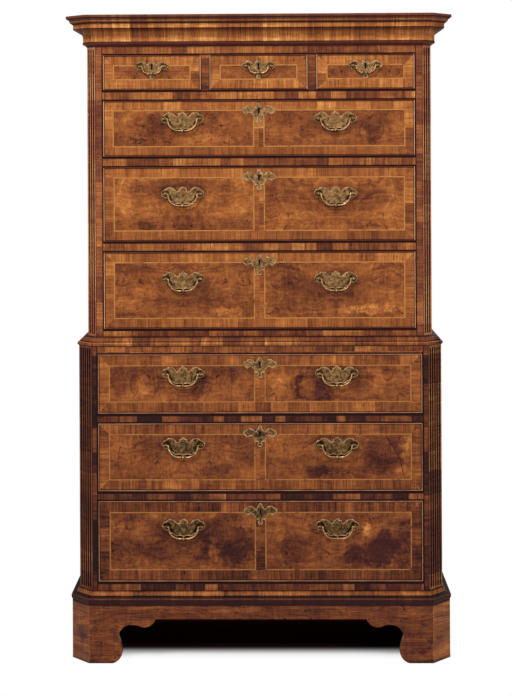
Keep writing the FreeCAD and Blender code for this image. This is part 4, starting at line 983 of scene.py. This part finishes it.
def punch_recipe():
    """A row of small round punch marks just inside the edge of every plate."""
    punch = Recipe("plate_punch_marks", inset=0.0027, spacing=0.0024, radius=0.00062)
    even = punch.add("GeometryNodeResampleCurve",
                     {"Curve": punch.outlines(), "Length": punch.size("spacing")}, mode="LENGTH")
    tangent = punch.add("GeometryNodeInputTangent")
    inward = punch.add("ShaderNodeVectorMath", {0: tangent.outputs[0], 1: (0, 1, 0)},
                       operation="CROSS_PRODUCT")
    joined = punch.add("GeometryNodeJoinGeometry")
    for side in (1.0, -1.0):
        reach = punch.sum("MULTIPLY", punch.size("inset"), side)
        step = punch.add("ShaderNodeVectorMath", {0: inward.outputs[0], "Scale": reach},
                         operation="SCALE")
        moved = punch.add("GeometryNodeSetPosition",
                          {"Geometry": even.outputs[0], "Offset": step.outputs[0]})
        punch.tree.links.new(moved.outputs[0], joined.inputs[0])
    dots = punch.add("GeometryNodeCurveToPoints", {"Curve": joined.outputs[0]}, mode="EVALUATED")
    place = punch.add("GeometryNodeInputPosition")
    before = punch.add("ShaderNodeVectorMath", {0: place.outputs[0], 1: (0, -0.001, 0)},
                       operation="ADD")
    ray = punch.add("GeometryNodeRaycast", {"Target Geometry": punch.start.outputs[0],
                                            "Source Position": before.outputs[0],
                                            "Ray Direction": (0, 1, 0), "Ray Length": 0.003})
    edges = punch.add("GeometryNodeCurveToMesh", {"Curve": punch.outlines()})
    near = punch.add("GeometryNodeProximity", {0: edges.outputs[0]}, target_element="EDGES")
    limit = punch.sum("MULTIPLY", punch.size("inset"), 0.9)
    close = punch.add("FunctionNodeCompare", {0: near.outputs["Distance"], 1: limit},
                      data_type="FLOAT", operation="LESS_THAN")
    off = punch.add("FunctionNodeBooleanMath", {0: ray.outputs["Is Hit"]}, operation="NOT")
    drop = punch.add("FunctionNodeBooleanMath", {0: off.outputs[0], 1: close.outputs[0]}, operation="OR")
    kept = punch.add("GeometryNodeDeleteGeometry",
                     {"Geometry": dots.outputs[0], "Selection": drop.outputs[0]})
    apart = punch.add("GeometryNodeMergeByDistance",
                      {"Geometry": kept.outputs[0], "Distance": punch.size("radius")})
    bead = punch.add("GeometryNodeMeshIcoSphere",
                     {"Radius": punch.size("radius"), "Subdivisions": 1})
    bead_light = punch.add("GeometryNodeInstanceOnPoints",
                      {"Points": apart.outputs[0], "Instance": bead.outputs[0]})
    return punch.finish(bead_light.outputs[0], edge_brass.material)


# A dark line round each plate, of old wax and painted shadow.
def wax_and_shadow():
    wax = Finish("wax_and_shadow")
    lump = wax.cloud(wax.x / 5, wax.y / 5, wax.z / 5, 3)
    wax.lay(wax.shades(0.5 + lump, [(0.0, (14, 7, 5)), (1.0, (48, 27, 18))]), 0.7 + lump * 0.3, lump * 0.3)
    wax.surface.inputs["Specular IOR Level"].default_value = 0.15
    return wax


rims = edge_recipe("plate_rims", edge_brass.material, radius=0.0008)
wax_and_shadow_lines = edge_recipe("wax_and_shadow_round_the_plates", wax_and_shadow().material, radius=0.0016)
punches = punch_recipe()
for drawer in DRAWER_NAMES:
    body = drawer + "_drawer"
    rims.make(drawer + "_plate_rims", plate_outline(drawer, 0.0), body, "brass")
    punches.make(drawer + "_plate_punch_marks", plate_outline(drawer, 0.0), body, "brass")
    wax_and_shadow_lines.make(drawer + "_wax_round_the_plates", plate_outline(drawer, WAX_DEPTH), body,
                   "crossgrain_walnut")


# The floor and the light.
# A pale floor with a shadow painted dark under the tallboy, that fades to white around it, under a soft
# key light from the upper left, a weaker one from the right and an even white sky.

FLOOR_REACH = 14.0
FLOOR_SHADOW_SHADES = [(0.0, (34, 9, 8)), (0.45, (84, 62, 60)), (1.0, (250, 250, 250))]
WHITE = (1, 1, 1, 1)


def floor_piece():
    mesh = bpy.data.meshes.new("floor")
    reach = FLOOR_REACH
    mesh.from_pydata([(-reach, -reach, 0), (reach, -reach, 0), (reach, reach, 0), (-reach, reach, 0)],
                     [], [(0, 1, 2, 3)])
    floor = bpy.data.objects.new("floor", mesh)
    bpy.context.scene.collection.objects.link(floor)
    finish = Finish("pale_floor_with_painted_shadow")
    # Painted shadow: the floor's colour is near black under the tallboy and turns pale beyond its feet.
    under = (abs(finish.x) - 520).most(abs(finish.y) - 150)
    shade = finish.shades(under.above(0, 130), FLOOR_SHADOW_SHADES)
    finish.feed(finish.surface.inputs["Base Color"], shade)
    finish.surface.inputs["Roughness"].default_value = 0.9
    finish.surface.inputs["Specular IOR Level"].default_value = 0.0
    fade = (abs(finish.x) - 541).above(2, 14).most((abs(finish.y) - 190).above(0, 120))
    seen = finish.add("ShaderNodeLightPath")
    direct = Reading(finish, seen.outputs["Is Camera Ray"]).most(
        Reading(finish, seen.outputs["Is Glossy Ray"])).most(
        Reading(finish, seen.outputs["Is Transmission Ray"]))
    white = finish.add("ShaderNodeEmission")
    white.inputs["Color"].default_value = WHITE
    white.inputs["Strength"].default_value = 1.0
    join = finish.add("ShaderNodeMixShader")
    finish.feed(join.inputs[0], fade * direct)
    finish.tree.links.new(finish.surface.outputs[0], join.inputs[1])
    finish.tree.links.new(white.outputs[0], join.inputs[2])
    out = finish.tree.nodes["Material Output"]
    finish.tree.links.new(join.outputs[0], out.inputs["Surface"])
    mesh.materials.append(finish.material)


floor_piece()

world = bpy.data.worlds.new("white_studio")
bpy.context.scene.world = world
world.use_nodes = True
sky = world.node_tree
seen = sky.nodes.new("ShaderNodeLightPath")
direct = sky.nodes.new("ShaderNodeMath")
direct.operation = "MAXIMUM"
sky.links.new(seen.outputs["Is Camera Ray"], direct.inputs[0])
also = sky.nodes.new("ShaderNodeMath")
also.operation = "MAXIMUM"
sky.links.new(seen.outputs["Is Glossy Ray"], also.inputs[0])
sky.links.new(seen.outputs["Is Transmission Ray"], also.inputs[1])
sky.links.new(also.outputs[0], direct.inputs[1])
strength = sky.nodes.new("ShaderNodeMapRange")
sky.links.new(direct.outputs[0], strength.inputs["Value"])
strength.inputs["To Min"].default_value = 0.16
strength.inputs["To Max"].default_value = 1.0
background = sky.nodes["Background"]
background.inputs["Color"].default_value = WHITE
sky.links.new(strength.outputs["Result"], background.inputs["Strength"])


def softbox(name, place, aim, size, power):
    lamp = bpy.data.lights.new(name, "AREA")
    lamp.shape = "SQUARE"
    lamp.size = size
    lamp.energy = power
    holder = bpy.data.objects.new(name, lamp)
    bpy.context.scene.collection.objects.link(holder)
    holder.location = place
    direction = Vector(aim) - Vector(place)
    holder.rotation_euler = direction.to_track_quat("-Z", "Y").to_euler()


softbox("key_light", (-1.9, -3.9, 4.9), (0, 0, 1.0), 1.5, 270)
softbox("fill_light", (3.4, -3.8, 2.4), (0, 0, 0.9), 2.6, 88)
softbox("back_light", (1.0, 4.2, 3.6), (0, 0, 1.0), 2.6, 110)

# The camera.
# It stands four and a half metres in front at eye height, upright, with its frame shifted down to
# take in the feet.

CAMERA_PLACE = (0.05, -4.5, 1.46)
CAMERA_TURN = (90.02, 0.27, 0.78)
camera_data = bpy.data.cameras.new("camera")
camera_data.sensor_width = 36.0
camera_data.lens = 77.15
camera_data.shift_y = -0.288
camera_data.clip_end = 100
camera = bpy.data.objects.new("camera", camera_data)
bpy.context.scene.collection.objects.link(camera)
camera.location = CAMERA_PLACE
camera.rotation_euler = [math.radians(angle) for angle in CAMERA_TURN]
bpy.context.scene.camera = camera
bpy.context.scene.view_settings.view_transform = "Standard"
